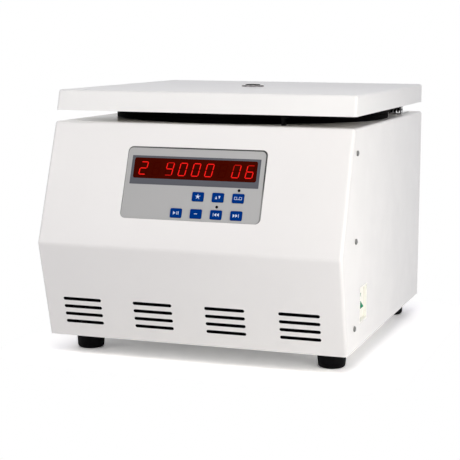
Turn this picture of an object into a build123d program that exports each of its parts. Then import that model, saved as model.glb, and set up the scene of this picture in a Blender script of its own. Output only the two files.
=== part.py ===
from build123d import *
from math import radians, sin, cos
import os

# Bench cytocentrifuge. Millimetres; +X to the operator's right, -Y to the front, +Z up.
# The origin is on the bench, under the middle of the casing.

# ---------------------------------------------------------------- driving dimensions

# Casing, seen from the side: two front faces meet at a crease, the deck is flat on top.
# The margins on the deck are those round the chamber's collar.
side_margin = 9.0
front_margin = 24.0
rear_margin = 14.0
foot_height = 23.0
crease_height = 109.5
upper_height = 133.5
deck_setback = 50.0
base_setback = 31.0
sheet = 1.5
bend_radius = 3.5
crease_radius = 8.0
seam_gap = 0.3
panel_gap = 0.3
tray_lip = 18.0
rear_recess = 2.6
flange_width = 14.0
flange_foot_gap = 2.0
touch_gap = 0.05

# Feet and screws
foot_side_inset = 29.0
foot_front_inset = 48.0
foot_rear_inset = 32.0
foot_top_radius = 17.0
foot_bottom_radius = 15.3
foot_edge_radius = 3.5
foot_recess_radius = 6.0
foot_recess_depth = 10.0
foot_screw_head_radius = 4.2
foot_screw_head_height = 3.0
foot_nut_height = 3.0
foot_nut_radius = 4.0
screw_head_radius = 3.15
screw_head_height = 2.0
screw_dome_radius = 1.2
screw_shank_radius = 2.0
screw_length = 7.0
screw_clearance = 0.2
side_screw_inset = 61.0
side_screw_over_base = 25.0
side_screw_over_crease = 11.5
side_screw_under_deck = 26.5
rear_screw_end_inset = 36.5

# Louvres in the lower front face and in the rear panel
louvre_length = 45.5
louvre_width = 3.3
louvre_pitch_x = 84.5
louvre_pitch_up = 9.4
louvre_columns = 4
louvre_rows = 4
louvre_middle_x = -2.0
louvre_middle_up = 32.75

# Chamber
rotor_clearance = 19.0
bowl_wall = 1.2
bowl_motor_gap = 16.0
bowl_corner_radius = 14.0
bowl_rim_width = 5.0
deck_opening_clearance = 1.3
gasket_width = 15.2
gasket_height = 6.0
gasket_edge_radius = 1.5
collar_overhang = 0.5
armour_clearance = 3.0
armour_wall = 3.0
armour_flange_width = 14.8
armour_foot_rise = 13.0

# Drive
damper_height = 25.0
damper_radius = 12.0
damper_waist_radius = 9.0
damper_spacing = 116.0
motor_plate_size = 150.0
motor_plate_thickness = 4.0
motor_plate_corner = 10.0
motor_height = 82.5
motor_radius = 55.0
motor_wall = 5.0
motor_cap = 4.5
motor_head = 8.0
bearing_radius = 16.0
bearing_width = 9.0
bearing_boss_wall = 6.0
bearing_end_wall = 3.0
shaft_radius = 6.0
shaft_end_gap = 0.3
running_gap = 0.05
core_radius = 44.0
core_gap = 8.0
boot_wall = 3.5
boot_bore_radius = 8.0
boot_neck_radius = 20.5
boot_flange_radius = 28.0
boot_flange_height = 2.0

# Rotor
hub_bottom_gap = 4.0
hub_flange_radius = 20.0
hub_flange_height = 8.0
hub_radius = 14.0
hub_top_height = 20.0
rotor_edge_margin = 7.0
rotor_plate_thickness = 3.0
rotor_lip_height = 6.0
lightening_radius = 12.0
lightening_pitch_radius = 62.0
station_count = 8
shoulder_width = 3.0
shoulder_height = 1.5
thread_radius = 4.0
thread_length = 16.0
nut_radius = 17.0
nut_height = 20.0
nut_bore_depth = 17.0
nut_flute_radius = 5.0
nut_flute_count = 6
nut_flute_depth = 3.3

# One slide station, measured out from the rotor's axis and up from its plate
slide_width = 25.4
slide_height = 76.0
slide_thickness = 1.0
card_thickness = 0.4
card_height = 60.0
slide_back_radius = 118.0
stack_gap = 0.05
clip_sheet = 1.0
clip_height = 80.0
clip_side_gap = 0.3
clip_lip_width = 2.6
clip_foot_length = 16.0
funnel_plate_thickness = 3.0
funnel_plate_width = 25.0
funnel_plate_height = 44.0
well_inset = 18.0
well_radius = 8.0
well_bore_radius = 6.2
well_bottom_height = 19.0
well_top_height = 66.0
well_cone_height = 6.0
outlet_height = 25.0
outlet_radius = 6.0
outlet_bore_radius = 3.0
cap_radius = 9.5
cap_height = 3.0
cap_plug_length = 6.0
cap_plug_gap = 0.1

# Lid
lid_gap = 12.4
lid_thickness = 23.0
lid_front_reveal = 2.7
lid_front_lean = 6.3
pan_recess = 0.5
pan_lip = 8.0
liner_thickness = 3.0
collar_width = 15.5
collar_gasket_gap = 0.3
sight_ring_radius = 13.8
sight_ring_height = 3.5
sight_tube_radius = 10.0
sight_tube_wall = 1.0
sight_glass_thickness = 3.0
sight_ledge_width = 1.0
sight_ledge_height = 2.0
sight_hole_gap = 0.2

# Lid hinges
hinge_axis_inset = 5.0
hinge_side_inset = 70.0
hinge_length = 50.0
hinge_lid_knuckle = 18.0
hinge_knuckle_radius = 4.5
hinge_pin_radius = 2.5
hinge_knuckle_gap = 0.3
hinge_leaf_thickness = 1.5
hinge_leaf_length = 28.0
hinge_web_rear = 3.0

# Lift springs beside the hinges
lift_side_inset = 19.5
lift_rear_inset = 72.0
lift_length = 16.0
lift_ear_thickness = 1.5
lift_ear_radius = 5.4
lift_base_thickness = 1.2
lift_leaf_rear = 42.0
lift_leaf_front = 6.0
lift_pin_rise = 5.4
lift_pin_radius = 1.5
lift_wire_radius = 0.9
lift_coil_radius = 4.1
lift_coil_valley = 3.3
lift_coil_bore = 2.2
lift_coil_count = 4
lift_coil_crest = 0.4
lift_end_gap = 0.5
lift_leg_length = 24.0

# Lid lock
striker_side_inset = 87.25
striker_setback = 29.0
striker_thickness = 3.6
striker_width = 8.0
striker_foot_width = 6.2
striker_foot_length = 8.0
striker_foot_height = 5.4
striker_tip_below_deck = 22.0
striker_eye_height = 8.0
striker_eye_width = 5.6
striker_eye_from_tip = 4.0
deck_slot_width = 7.0
deck_slot_length = 17.0
lock_near_length = 5.5
lock_far_length = 44.0
lock_width = 20.0
lock_height = 23.0
bolt_radius = 2.5
bolt_length = 34.0
bolt_rest_gap = 0.5
bolt_travel = 10.0

# Control panel, on the upper front face: widths along X, heights up the face from the crease
panel_width = 162.0
panel_height = 82.0
panel_x = 1.2
panel_up = 75.0
panel_corner_radius = 6.0
panel_recess = 0.8
panel_side_gap = 0.4
panel_back_margin = 7.0
panel_back_thickness = 2.5
window_x = 0.5
window_rise = 16.7
window_width = 143.0
window_height = 23.4
window_thickness = 2.0
window_corner_radius = 1.5
window_gap = 0.1
key_width = 13.2
key_height = 10.2
key_corner_radius = 1.2
key_gap = 0.3
key_proud = 0.6
key_travel = 0.5
key_flange = 1.0
key_flange_thickness = 1.0
key_stem = 4.0
key_rest_gap = 0.3
key_switch_gap = 0.2
key_first_x = -14.8
key_pitch = 23.0
upper_row_drop = 13.4
lower_row_drop = 32.6
led_rise = 8.7
led_radius = 1.25
led_gap = 0.1
board_margin = 3.0
board_thickness = 1.6
board_standoff = 8.4
board_post_radius = 3.5
board_post_inset = 5.0
switch_size = 6.0
switch_height = 2.5
display_margin = 1.1

# Power switch, in the right side
switch_front_inset = 102.8
switch_rise = 46.2
switch_width = 34.5
switch_opening_height = 40.5
switch_wall = 2.0
switch_side_gap = 0.2
switch_well_depth = 4.0
switch_body_depth = 24.0
rocker_forward = 6.3
rocker_lift = 2.0
rocker_width = 13.0
rocker_half_length = 7.4
rocker_pivot_depth = 5.0
rocker_end_rise = 2.9
rocker_bevel_length = 0.9
rocker_bevel_drop = 1.2
rocker_skirt_half = 7.6
rocker_skirt_rise = 2.0
rocker_barrel_radius = 3.0
rocker_pin_radius = 1.5
rocker_pin_length = 1.2
rocker_throw = 24.0
rocker_gap = 0.4
rocker_end_gap = 2.6

# Mains inlet, in the rear panel
inlet_side_inset = 63.0
inlet_rise = 39.0
inlet_flange_width = 50.0
inlet_flange_height = 26.0
inlet_flange_thickness = 2.0
inlet_body_width = 29.0
inlet_body_height = 21.0
inlet_body_depth = 21.0
inlet_cavity_width = 24.6
inlet_cavity_height = 16.6
inlet_cavity_depth = 17.0
inlet_corner_chamfer = 4.0
inlet_corner_radius = 2.0
inlet_hole_gap = 0.3
inlet_pin_width = 2.0
inlet_pin_height = 4.0
inlet_pin_length = 15.0
inlet_pin_tail = 6.0
inlet_pin_pitch = 14.0
inlet_earth_rise = 4.0

# Fan, behind the rear panel
fan_side_inset = 63.0
fan_rise = 99.0
fan_size = 80.0
fan_depth = 25.0
fan_wall = 2.0
fan_corner_radius = 4.0
fan_hub_radius = 15.0
fan_motor_depth = 4.0
fan_spindle_radius = 2.0
fan_spindle_length = 3.0
fan_strut_width = 5.0
fan_blade_gap = 1.5
fan_blade_count = 7
fan_blade_angle = 38.0
fan_blade_chord = 20.0
fan_blade_thickness = 1.6
fan_rotor_gap = 1.0
grille_inset = 2.0
grille_slot_width = 4.0
grille_pitch = 7.6

# Power supply board, on the base tray
supply_side_inset = 51.0
supply_y = 10.0
supply_width = 66.0
supply_length = 150.0
supply_post_height = 8.0
supply_post_radius = 4.0
supply_post_inset = 8.0
transformer_back = 37.5
transformer_width = 50.0
transformer_length = 45.0
transformer_height = 38.0
capacitor_forward = 50.0
capacitor_pitch = 26.0
capacitor_radius = 11.0
capacitor_height = 34.0
heat_sink_forward = 14.0
heat_sink_width = 58.0
heat_sink_thickness = 4.0
heat_sink_height = 30.0
fin_count = 6
fin_pitch = 9.0
fin_length = 20.0
fin_thickness = 2.0

# ---------------------------------------------------------------- places worked out from them

rotor_radius = slide_back_radius + clip_sheet + rotor_edge_margin
bowl_radius = rotor_radius + rotor_clearance
bowl_rim_radius = bowl_radius + bowl_rim_width
gasket_radius = bowl_rim_radius + panel_gap + gasket_width
collar_radius = gasket_radius + collar_overhang

case_width = 2 * (collar_radius + side_margin)
case_depth = deck_setback + front_margin + 2 * collar_radius + rear_margin
x_side = case_width / 2
x_inner = x_side - sheet
y_front = -case_depth / 2
y_rear = case_depth / 2
z_base = foot_height
z_crease = z_base + crease_height
z_deck = z_crease + upper_height
z_under_deck = z_deck - sheet
upper_face = Plane((0, y_front, z_crease), x_dir=(1, 0, 0), z_dir=(0, -upper_height, deck_setback))
lower_face = Plane(
    (0, y_front + base_setback, z_base), x_dir=(1, 0, 0), z_dir=(0, -crease_height, -base_setback)
)

rear_plate_y = y_rear - rear_recess - sheet
rear_flange_y = rear_plate_y - sheet
tray_rear_y = rear_flange_y - panel_gap
chamber_y = y_rear - rear_margin - collar_radius
chamber_axis = Axis((0, chamber_y, 0), (0, 0, 1))

lid_bottom_z = z_deck + lid_gap
lid_top_z = lid_bottom_z + lid_thickness
pan_bottom_z = lid_bottom_z + pan_recess
liner_bottom_z = pan_bottom_z - liner_thickness
collar_bottom_z = z_deck + gasket_height + collar_gasket_gap
hinge_x = x_side - hinge_side_inset
hinge_axis_y = y_rear - hinge_axis_inset
hinge_axis_z = z_deck + lid_gap / 2

lift_x = x_side - lift_side_inset
lift_y = y_rear - lift_rear_inset
striker_x = x_side - striker_side_inset
striker_y = y_front + deck_setback + striker_setback

tray_top_z = z_base + sheet
motor_plate_z = tray_top_z + damper_height
motor_bottom_z = motor_plate_z + motor_plate_thickness
motor_top_z = motor_bottom_z + motor_height
bowl_floor_z = motor_top_z + bowl_motor_gap
hub_bottom_z = bowl_floor_z + boot_flange_height + hub_bottom_gap
rotor_bottom_z = hub_bottom_z + hub_flange_height
rotor_top_z = rotor_bottom_z + rotor_plate_thickness
hub_top_z = rotor_bottom_z + hub_top_height
station_z = rotor_top_z + clip_sheet
well_axis_radius = slide_back_radius - well_inset

switch_y = y_front + switch_front_inset
switch_z = z_base + switch_rise
fan_x = x_side - fan_side_inset
fan_z = z_base + fan_rise
fan_bore_radius = fan_size / 2 - fan_wall
inlet_x = inlet_side_inset - x_side
inlet_z = z_base + inlet_rise
supply_x = supply_side_inset - x_side

# Places on the upper front face, up from the crease
window_up = panel_up + window_rise
key_columns = [key_first_x + index * key_pitch for index in range(4)]
upper_row_up = panel_up - upper_row_drop
lower_row_up = panel_up - lower_row_drop
key_places = {
    "key_star": (key_columns[1], upper_row_up),
    "key_up_down": (key_columns[2], upper_row_up),
    "key_mode": (key_columns[3], upper_row_up),
    "key_start_pause": (key_columns[0], lower_row_up),
    "key_stop": (key_columns[1], lower_row_up),
    "key_back": (key_columns[2], lower_row_up),
    "key_forward": (key_columns[3], lower_row_up),
}
led_places = [(x, up + led_rise) for x, up in (key_places["key_mode"], key_places["key_back"])]

# Depths below the upper front face
panel_front = -panel_recess
panel_step = -sheet
panel_back = -sheet - panel_back_thickness
key_front = panel_front + key_proud
key_flange_front = panel_back - key_rest_gap
key_flange_back = key_flange_front - key_flange_thickness
board_front = panel_back - board_standoff
key_stem_end = board_front + switch_height + key_travel + key_switch_gap
clearance_run = 40.0


# ---------------------------------------------------------------- shared shapes


def side_outline(inset=0.0, run=0.0, open_deck=False):
    """The casing from the side, moved in by inset, with its open ends run out by run."""
    foot_y = y_front + base_setback * (crease_height + run) / crease_height
    rise = run if open_deck else 0.0
    deck_y = y_front + deck_setback * (upper_height + rise) / upper_height
    with BuildSketch(Plane.YZ) as outline:
        with BuildLine():
            Polyline(
                (foot_y, z_base - run),
                (y_front, z_crease),
                (deck_y, z_deck + rise),
                (y_rear + run, z_deck + rise),
                (y_rear + run, z_base - run),
                close=True,
            )
        make_face()
        fillet(outline.vertices().sort_by(Axis.X)[0], crease_radius)
        if inset > 0:
            offset(amount=-inset, kind=Kind.INTERSECTION)
    return outline.sketch


def case_block(inset=0.0, run=0.0):
    """The casing's outside, or the space inside it, as a solid with its bends rounded."""
    half = x_side - inset
    radius = bend_radius - inset
    with BuildPart() as block:
        extrude(side_outline(inset, run), amount=half, both=True)
        if radius > 0:
            side_edges = block.edges().filter_by(
                lambda e: abs(abs(e.center().X) - half) < 0.01
                and e.center().Y < y_rear + run - inset - 1
                and e.center().Z > z_base - run + inset + 1
            )
            deck_bend = block.edges().filter_by(Axis.X).group_by(Axis.Z)[-1].sort_by(Axis.Y)[0]
            fillet(side_edges + [deck_bend], radius)
    return block.part


def behind_front(depth):
    """All the space more than depth behind the two front faces."""
    with BuildPart() as space:
        extrude(side_outline(depth, clearance_run, open_deck=True), amount=case_width, both=True)
    return space.part


def lid_block(inset=0.0, run=0.0):
    """The lid's outside, or the space inside it, as a solid with its bends rounded."""
    half = x_side - inset
    radius = bend_radius - inset
    lean = lid_front_lean / lid_thickness
    low_front_y = y_front + deck_setback + lid_front_reveal
    with BuildPart() as block:
        with BuildSketch(Plane.YZ) as outline:
            with BuildLine():
                Polyline(
                    (low_front_y - lean * run, lid_bottom_z - run),
                    (low_front_y + lid_front_lean, lid_top_z),
                    (y_rear, lid_top_z),
                    (y_rear, lid_bottom_z - run),
                    close=True,
                )
            make_face()
            if inset > 0:
                offset(amount=-inset, kind=Kind.INTERSECTION)
        extrude(amount=half, both=True)
        if radius > 0:
            low = lid_bottom_z - run + inset
            fillet(block.edges().filter_by(lambda e: e.center().Z > low + 1), radius)
    return block.part


def upright(x=0.0, y=0.0):
    """A vertical plane through (x, y), facing the front, with its height along Z."""
    return Plane((x, y, 0), x_dir=(1, 0, 0), z_dir=(0, -1, 0))


def turned(points, x=0.0, y=0.0):
    """A turned solid on the vertical line through (x, y); points are (radius, height)."""
    with BuildPart() as body:
        with BuildSketch(upright(x, y)):
            with BuildLine():
                Polyline(*points, close=True)
            make_face()
        revolve(axis=Axis((x, y, 0), (0, 0, 1)))
    return body.part


def ring(inner, outer, bottom, top, x=0.0, y=chamber_y):
    """A plain ring about the vertical line through (x, y)."""
    with BuildPart() as body:
        with BuildSketch(Plane.XY.offset(bottom)):
            with Locations((x, y)):
                Circle(outer)
                Circle(inner, mode=Mode.SUBTRACT)
        extrude(amount=top - bottom)
    return body.part


def screw(seat):
    """A pan-head screw whose head stands on the plane seat and whose shank goes below it."""
    with BuildPart() as body:
        with BuildSketch(seat):
            Circle(screw_head_radius)
        extrude(amount=screw_head_height)
        fillet(body.faces().sort_by(Axis(seat.origin, seat.z_dir))[-1].edges(), screw_dome_radius)
        with BuildSketch(seat):
            Circle(screw_shank_radius)
        extrude(amount=-screw_length)
    return body.part


def span_box(y_low, y_high, z_low, z_high, mode):
    """A box right across the casing that cuts, or keeps, a band of the part being built."""
    with Locations((0, (y_low + y_high) / 2, (z_low + z_high) / 2)):
        Box(2 * case_width, y_high - y_low, z_high - z_low, mode=mode)


def banded(solid, y_high, z_low, z_high):
    """The part of a solid in front of y_high and between two heights."""
    with BuildPart() as band:
        add(solid)
        span_box(-case_depth, y_high, z_low, z_high, Mode.INTERSECT)
    return band.part


def rear_plane(y):
    """A plane at y that faces the rear, its height along Z and its width along -X."""
    return Plane((0, y, 0), x_dir=(-1, 0, 0), z_dir=(0, 1, 0))


def stations(radius=0.0):
    """The stations' places on a circle about the rotor's axis."""
    return PolarLocations(radius, station_count, start_angle=180 / station_count)


def round_rotor(piece):
    """Copies of a piece, made about the Z axis, at every station of the rotor."""
    with BuildPart() as copies:
        with Locations((0, chamber_y)):
            with stations():
                add(piece)
    return copies


nodes = {}


def keep(name, builder):
    """Label a finished piece and put it with the others."""
    builder.part.label = name
    nodes[name] = builder.part


# ---------------------------------------------------------------- casing

side_screw_y = y_front + side_screw_inset
side_screw_heights = (
    z_base + side_screw_over_base,
    z_crease + side_screw_over_crease,
    z_deck - side_screw_under_deck,
)
side_screw_places = [(side_screw_y, z) for z in side_screw_heights]
rear_screw_heights = (z_base + rear_screw_end_inset, (z_base + z_deck) / 2, z_deck - rear_screw_end_inset)
rear_screw_x = x_inner - flange_width / 2
rear_screw_places = [(side * rear_screw_x, z) for side in (-1, 1) for z in rear_screw_heights]
fan_screw_pitch = fan_size - 2 * fan_corner_radius
screw_hole_radius = screw_shank_radius + screw_clearance
deck_opening_radius = bowl_radius + bowl_wall + deck_opening_clearance

# One sheet makes the left side, the deck and the right side, with flanges turned in at the rear.
with BuildPart() as casing_cover:
    add(case_block())
    add(case_block(sheet, clearance_run), mode=Mode.SUBTRACT)
    add(behind_front(bend_radius + seam_gap), mode=Mode.INTERSECT)
    for side in (-1, 1):
        with Locations((side * rear_screw_x, rear_flange_y + sheet / 2, (z_base + z_under_deck) / 2)):
            Box(flange_width, sheet, z_under_deck - z_base)
    with BuildSketch(Plane.XY.offset(z_deck)):
        with Locations((0, chamber_y)):
            Circle(deck_opening_radius)
        with Locations((striker_x, striker_y)):
            Rectangle(deck_slot_width, deck_slot_length)
    extrude(amount=-2 * sheet, mode=Mode.SUBTRACT)
    with BuildSketch(Plane.YZ.offset(x_side)):
        with Locations((switch_y, switch_z)):
            Rectangle(switch_width, switch_opening_height)
    extrude(amount=-2 * sheet, mode=Mode.SUBTRACT)
    with BuildSketch(Plane.YZ.offset(x_side)):
        with Locations(*side_screw_places):
            Circle(screw_hole_radius)
    extrude(amount=-case_width, mode=Mode.SUBTRACT)
    with BuildSketch(rear_plane(rear_plate_y)):
        with Locations(*rear_screw_places):
            Circle(screw_hole_radius)
    extrude(amount=-2 * sheet, mode=Mode.SUBTRACT)
keep("casing_cover", casing_cover)


def front_flange(side):
    """A strip inside the casing's side, behind the front faces, that takes the side screws."""
    with BuildPart() as flange:
        extrude(side_outline(sheet / 2), amount=x_side, both=True)
        strip_low = z_base + tray_lip + flange_foot_gap
        strip_high = z_deck - bend_radius - touch_gap
        strip_back = side_screw_y + flange_width / 2
        with Locations(
            (
                side * (x_inner - touch_gap - sheet / 2),
                (y_front + strip_back) / 2,
                (strip_low + strip_high) / 2,
            )
        ):
            Box(sheet, strip_back - y_front, strip_high - strip_low, mode=Mode.INTERSECT)
    return flange.part


with BuildPart() as front_panel:
    add(case_block())
    add(case_block(sheet, clearance_run), mode=Mode.SUBTRACT)
    add(behind_front(bend_radius), mode=Mode.SUBTRACT)
    add(front_flange(-1))
    add(front_flange(1))
    with BuildSketch(Plane.YZ.offset(x_side)):
        with Locations(*side_screw_places):
            Circle(screw_hole_radius)
    extrude(amount=-case_width, mode=Mode.SUBTRACT)
    with BuildSketch(upper_face):
        with Locations((panel_x, panel_up)):
            RectangleRounded(panel_width, panel_height, panel_corner_radius)
    extrude(amount=2 * sheet, both=True, mode=Mode.SUBTRACT)
    with BuildSketch(lower_face):
        with Locations((louvre_middle_x, louvre_middle_up)):
            with GridLocations(louvre_pitch_x, louvre_pitch_up, louvre_columns, louvre_rows):
                SlotOverall(louvre_length, louvre_width)
    extrude(amount=2 * sheet, both=True, mode=Mode.SUBTRACT)
keep("front_panel", front_panel)

grille_radius = fan_bore_radius - grille_inset

with BuildPart() as rear_panel:
    low = z_base + panel_gap
    high = z_under_deck - panel_gap
    with Locations((0, rear_plate_y + sheet / 2, (low + high) / 2)):
        Box(2 * (x_inner - panel_gap), sheet, high - low)
    with BuildSketch(rear_plane(rear_plate_y + sheet)):
        with Locations(*rear_screw_places):
            Circle(screw_hole_radius)
        with Locations((-fan_x, fan_z)):
            with GridLocations(fan_screw_pitch, fan_screw_pitch, 2, 2):
                Circle(screw_hole_radius)
        with Locations((-inlet_x, inlet_z)):
            Rectangle(inlet_body_width + 2 * inlet_hole_gap, inlet_body_height + 2 * inlet_hole_gap)
        with Locations((-inlet_x, fan_z + louvre_pitch_up)):
            with GridLocations(louvre_pitch_x, louvre_pitch_up, 1, louvre_rows):
                SlotOverall(louvre_length, louvre_width)
    extrude(amount=-2 * sheet, mode=Mode.SUBTRACT)
    with BuildSketch(rear_plane(rear_plate_y + sheet)):
        with Locations((-fan_x, fan_z)):
            Circle(grille_radius)
            with GridLocations(1, grille_pitch, 1, int(2 * grille_radius / grille_pitch) + 1):
                Rectangle(2 * grille_radius + 1, grille_pitch - grille_slot_width, mode=Mode.SUBTRACT)
            Rectangle(grille_pitch - grille_slot_width, 2 * grille_radius + 1, mode=Mode.SUBTRACT)
    extrude(amount=-2 * sheet, mode=Mode.SUBTRACT)
keep("rear_panel", rear_panel)

foot_x = x_side - foot_side_inset
foot_front_y = y_front + base_setback + foot_front_inset
foot_rear_y = y_rear - foot_rear_inset
foot_places = {
    "foot_front_left": (-foot_x, foot_front_y),
    "foot_front_right": (foot_x, foot_front_y),
    "foot_rear_left": (-foot_x, foot_rear_y),
    "foot_rear_right": (foot_x, foot_rear_y),
}

with BuildPart() as base_tray:
    add(banded(case_block(sheet + panel_gap, clearance_run), tray_rear_y, z_base, z_base + tray_lip))
    add(
        banded(
            case_block(2 * sheet + panel_gap, clearance_run),
            tray_rear_y - sheet,
            tray_top_z,
            z_base + 2 * tray_lip,
        ),
        mode=Mode.SUBTRACT,
    )
    with BuildSketch(Plane.XY.offset(tray_top_z)):
        with Locations(*foot_places.values()):
            Circle(foot_nut_radius)
    extrude(amount=foot_nut_height)
    with BuildSketch(Plane.XY.offset(z_base)):
        with Locations(*foot_places.values()):
            Circle(screw_shank_radius + touch_gap)
    extrude(amount=sheet + foot_nut_height, mode=Mode.SUBTRACT)
keep("base_tray", base_tray)

for foot_name, (x, y) in foot_places.items():
    with BuildPart() as foot:
        with BuildSketch(upright(x, y)) as foot_section:
            with BuildLine():
                Polyline(
                    (screw_hole_radius, foot_recess_depth),
                    (foot_recess_radius, foot_recess_depth),
                    (foot_recess_radius, 0),
                    (foot_bottom_radius, 0),
                    (foot_top_radius, foot_height),
                    (screw_hole_radius, foot_height),
                    close=True,
                )
            make_face()
            rim = foot_section.vertices().sort_by_distance((foot_bottom_radius, 0))[0]
            fillet(rim, foot_edge_radius)
        revolve(axis=Axis((x, y, 0), (0, 0, 1)))
    keep(foot_name, foot)

with BuildPart() as foot_screws:
    with BuildSketch(Plane.XY.offset(foot_recess_depth)):
        with Locations(*foot_places.values()):
            Circle(foot_screw_head_radius)
    extrude(amount=-foot_screw_head_height)
    with BuildSketch(Plane.XY.offset(foot_recess_depth)):
        with Locations(*foot_places.values()):
            Circle(screw_shank_radius)
    extrude(amount=tray_top_z + foot_nut_height - foot_recess_depth)
keep("foot_screws", foot_screws)

with BuildPart() as case_screws:
    for side in (-1, 1):
        for y, z in side_screw_places:
            add(screw(Plane((side * x_side, y, z), x_dir=(0, 1, 0), z_dir=(side, 0, 0))))
    for x, z in rear_screw_places:
        add(screw(Plane((x, rear_plate_y + sheet, z), x_dir=(-1, 0, 0), z_dir=(0, 1, 0))))
    for right in (-1, 1):
        for up in (-1, 1):
            x = fan_x + right * fan_screw_pitch / 2
            z = fan_z + up * fan_screw_pitch / 2
            add(screw(Plane((x, rear_plate_y + sheet, z), x_dir=(-1, 0, 0), z_dir=(0, 1, 0))))
keep("case_screws", case_screws)

# ---------------------------------------------------------------- chamber

with BuildPart() as chamber_bowl:
    outer = bowl_radius + bowl_wall
    under = bowl_floor_z - bowl_wall
    hole = boot_neck_radius + panel_gap
    rim_top = z_deck + bowl_wall
    with BuildSketch(upright(0, chamber_y)) as bowl_section:
        with BuildLine():
            Polyline(
                (hole, bowl_floor_z),
                (bowl_radius, bowl_floor_z),
                (bowl_radius, rim_top),
                (bowl_rim_radius, rim_top),
                (bowl_rim_radius, z_deck),
                (outer, z_deck),
                (outer, under),
                (hole, under),
                close=True,
            )
        make_face()
        fillet(bowl_section.vertices().sort_by_distance((bowl_radius, bowl_floor_z))[0], bowl_corner_radius)
        fillet(bowl_section.vertices().sort_by_distance((outer, under))[0], bowl_corner_radius + bowl_wall)
    revolve(axis=chamber_axis)
keep("chamber_bowl", chamber_bowl)

with BuildPart() as chamber_gasket:
    add(ring(bowl_rim_radius + panel_gap, gasket_radius, z_deck, z_deck + gasket_height))
    fillet(chamber_gasket.faces().sort_by(Axis.Z)[-1].edges(), gasket_edge_radius)
keep("chamber_gasket", chamber_gasket)

with BuildPart() as armour_ring:
    armour_inner = bowl_radius + bowl_wall + armour_clearance
    armour_foot_z = bowl_floor_z + armour_foot_rise
    armour_flange_z = z_under_deck - armour_wall
    add(ring(armour_inner, armour_inner + armour_wall, armour_foot_z, z_under_deck))
    add(ring(armour_inner, armour_inner + armour_flange_width, armour_flange_z, z_under_deck))
keep("armour_ring", armour_ring)

with BuildPart() as shaft_boot:
    boot_top = bowl_floor_z + boot_flange_height
    boot_inner = boot_neck_radius - boot_wall
    boot_foot_top = motor_top_z + boot_wall
    add(
        turned(
            [
                (boot_inner, motor_top_z),
                (boot_neck_radius + boot_wall, motor_top_z),
                (boot_neck_radius + boot_wall, boot_foot_top),
                (boot_neck_radius, boot_foot_top),
                (boot_neck_radius, bowl_floor_z),
                (boot_flange_radius, bowl_floor_z),
                (boot_flange_radius, boot_top),
                (boot_bore_radius, boot_top),
                (boot_bore_radius, bowl_floor_z),
                (boot_inner, bowl_floor_z),
            ],
            0,
            chamber_y,
        )
    )
keep("shaft_boot", shaft_boot)

# ---------------------------------------------------------------- motor and shaft

damper_places = [
    (right * damper_spacing / 2, chamber_y + back * damper_spacing / 2)
    for right in (-1, 1)
    for back in (-1, 1)
]

with BuildPart() as motor_dampers:
    damper_end = damper_height / 5
    damper_middle_z = tray_top_z + damper_height / 2
    for x, y in damper_places:
        add(
            turned(
                [
                    (0, tray_top_z),
                    (damper_radius, tray_top_z),
                    (damper_radius, tray_top_z + damper_end),
                    (damper_waist_radius, damper_middle_z),
                    (damper_radius, motor_plate_z - damper_end),
                    (damper_radius, motor_plate_z),
                    (0, motor_plate_z),
                ],
                x,
                y,
            )
        )
keep("motor_dampers", motor_dampers)

with BuildPart() as motor_plate:
    with BuildSketch(Plane.XY.offset(motor_plate_z)):
        with Locations((0, chamber_y)):
            RectangleRounded(motor_plate_size, motor_plate_size, motor_plate_corner)
            Circle(motor_radius / 2, mode=Mode.SUBTRACT)
    extrude(amount=motor_plate_thickness)
keep("motor_plate", motor_plate)

lower_bearing_z = motor_bottom_z + motor_cap
upper_bearing_z = motor_top_z - bearing_end_wall - bearing_width
bearing_seat = bearing_radius + touch_gap
bearing_boss = bearing_seat + bearing_boss_wall

with BuildPart() as motor_housing:
    can_inner = motor_radius - motor_wall
    head_under = motor_top_z - motor_head
    add(
        turned(
            [
                (0, motor_bottom_z),
                (motor_radius, motor_bottom_z),
                (motor_radius, motor_top_z),
                (boot_bore_radius, motor_top_z),
                (boot_bore_radius, upper_bearing_z + bearing_width),
                (bearing_seat, upper_bearing_z + bearing_width),
                (bearing_seat, upper_bearing_z),
                (bearing_boss, upper_bearing_z),
                (bearing_boss, head_under),
                (can_inner, head_under),
                (can_inner, lower_bearing_z),
                (bearing_boss, lower_bearing_z),
                (bearing_boss, lower_bearing_z + bearing_width),
                (bearing_seat, lower_bearing_z + bearing_width),
                (bearing_seat, lower_bearing_z),
                (0, lower_bearing_z),
            ],
            0,
            chamber_y,
        )
    )
keep("motor_housing", motor_housing)

with BuildPart() as motor_bearings:
    for z in (lower_bearing_z, upper_bearing_z):
        add(ring(shaft_radius + running_gap, bearing_radius, z, z + bearing_width))
keep("motor_bearings", motor_bearings)

with BuildPart() as drive_shaft:
    core_bottom = lower_bearing_z + bearing_width + core_gap
    core_top = upper_bearing_z - core_gap
    shoulder_bottom = hub_bottom_z - shoulder_height
    shoulder_radius = shaft_radius + shoulder_width
    add(
        turned(
            [
                (0, lower_bearing_z + shaft_end_gap),
                (shaft_radius, lower_bearing_z + shaft_end_gap),
                (shaft_radius, core_bottom),
                (core_radius, core_bottom),
                (core_radius, core_top),
                (shaft_radius, core_top),
                (shaft_radius, shoulder_bottom),
                (shoulder_radius, shoulder_bottom),
                (shoulder_radius, hub_bottom_z),
                (shaft_radius, hub_bottom_z),
                (shaft_radius, hub_top_z),
                (thread_radius, hub_top_z),
                (thread_radius, hub_top_z + thread_length),
                (0, hub_top_z + thread_length),
            ],
            0,
            chamber_y,
        )
    )
keep("drive_shaft", drive_shaft)

# ---------------------------------------------------------------- rotor

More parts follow.
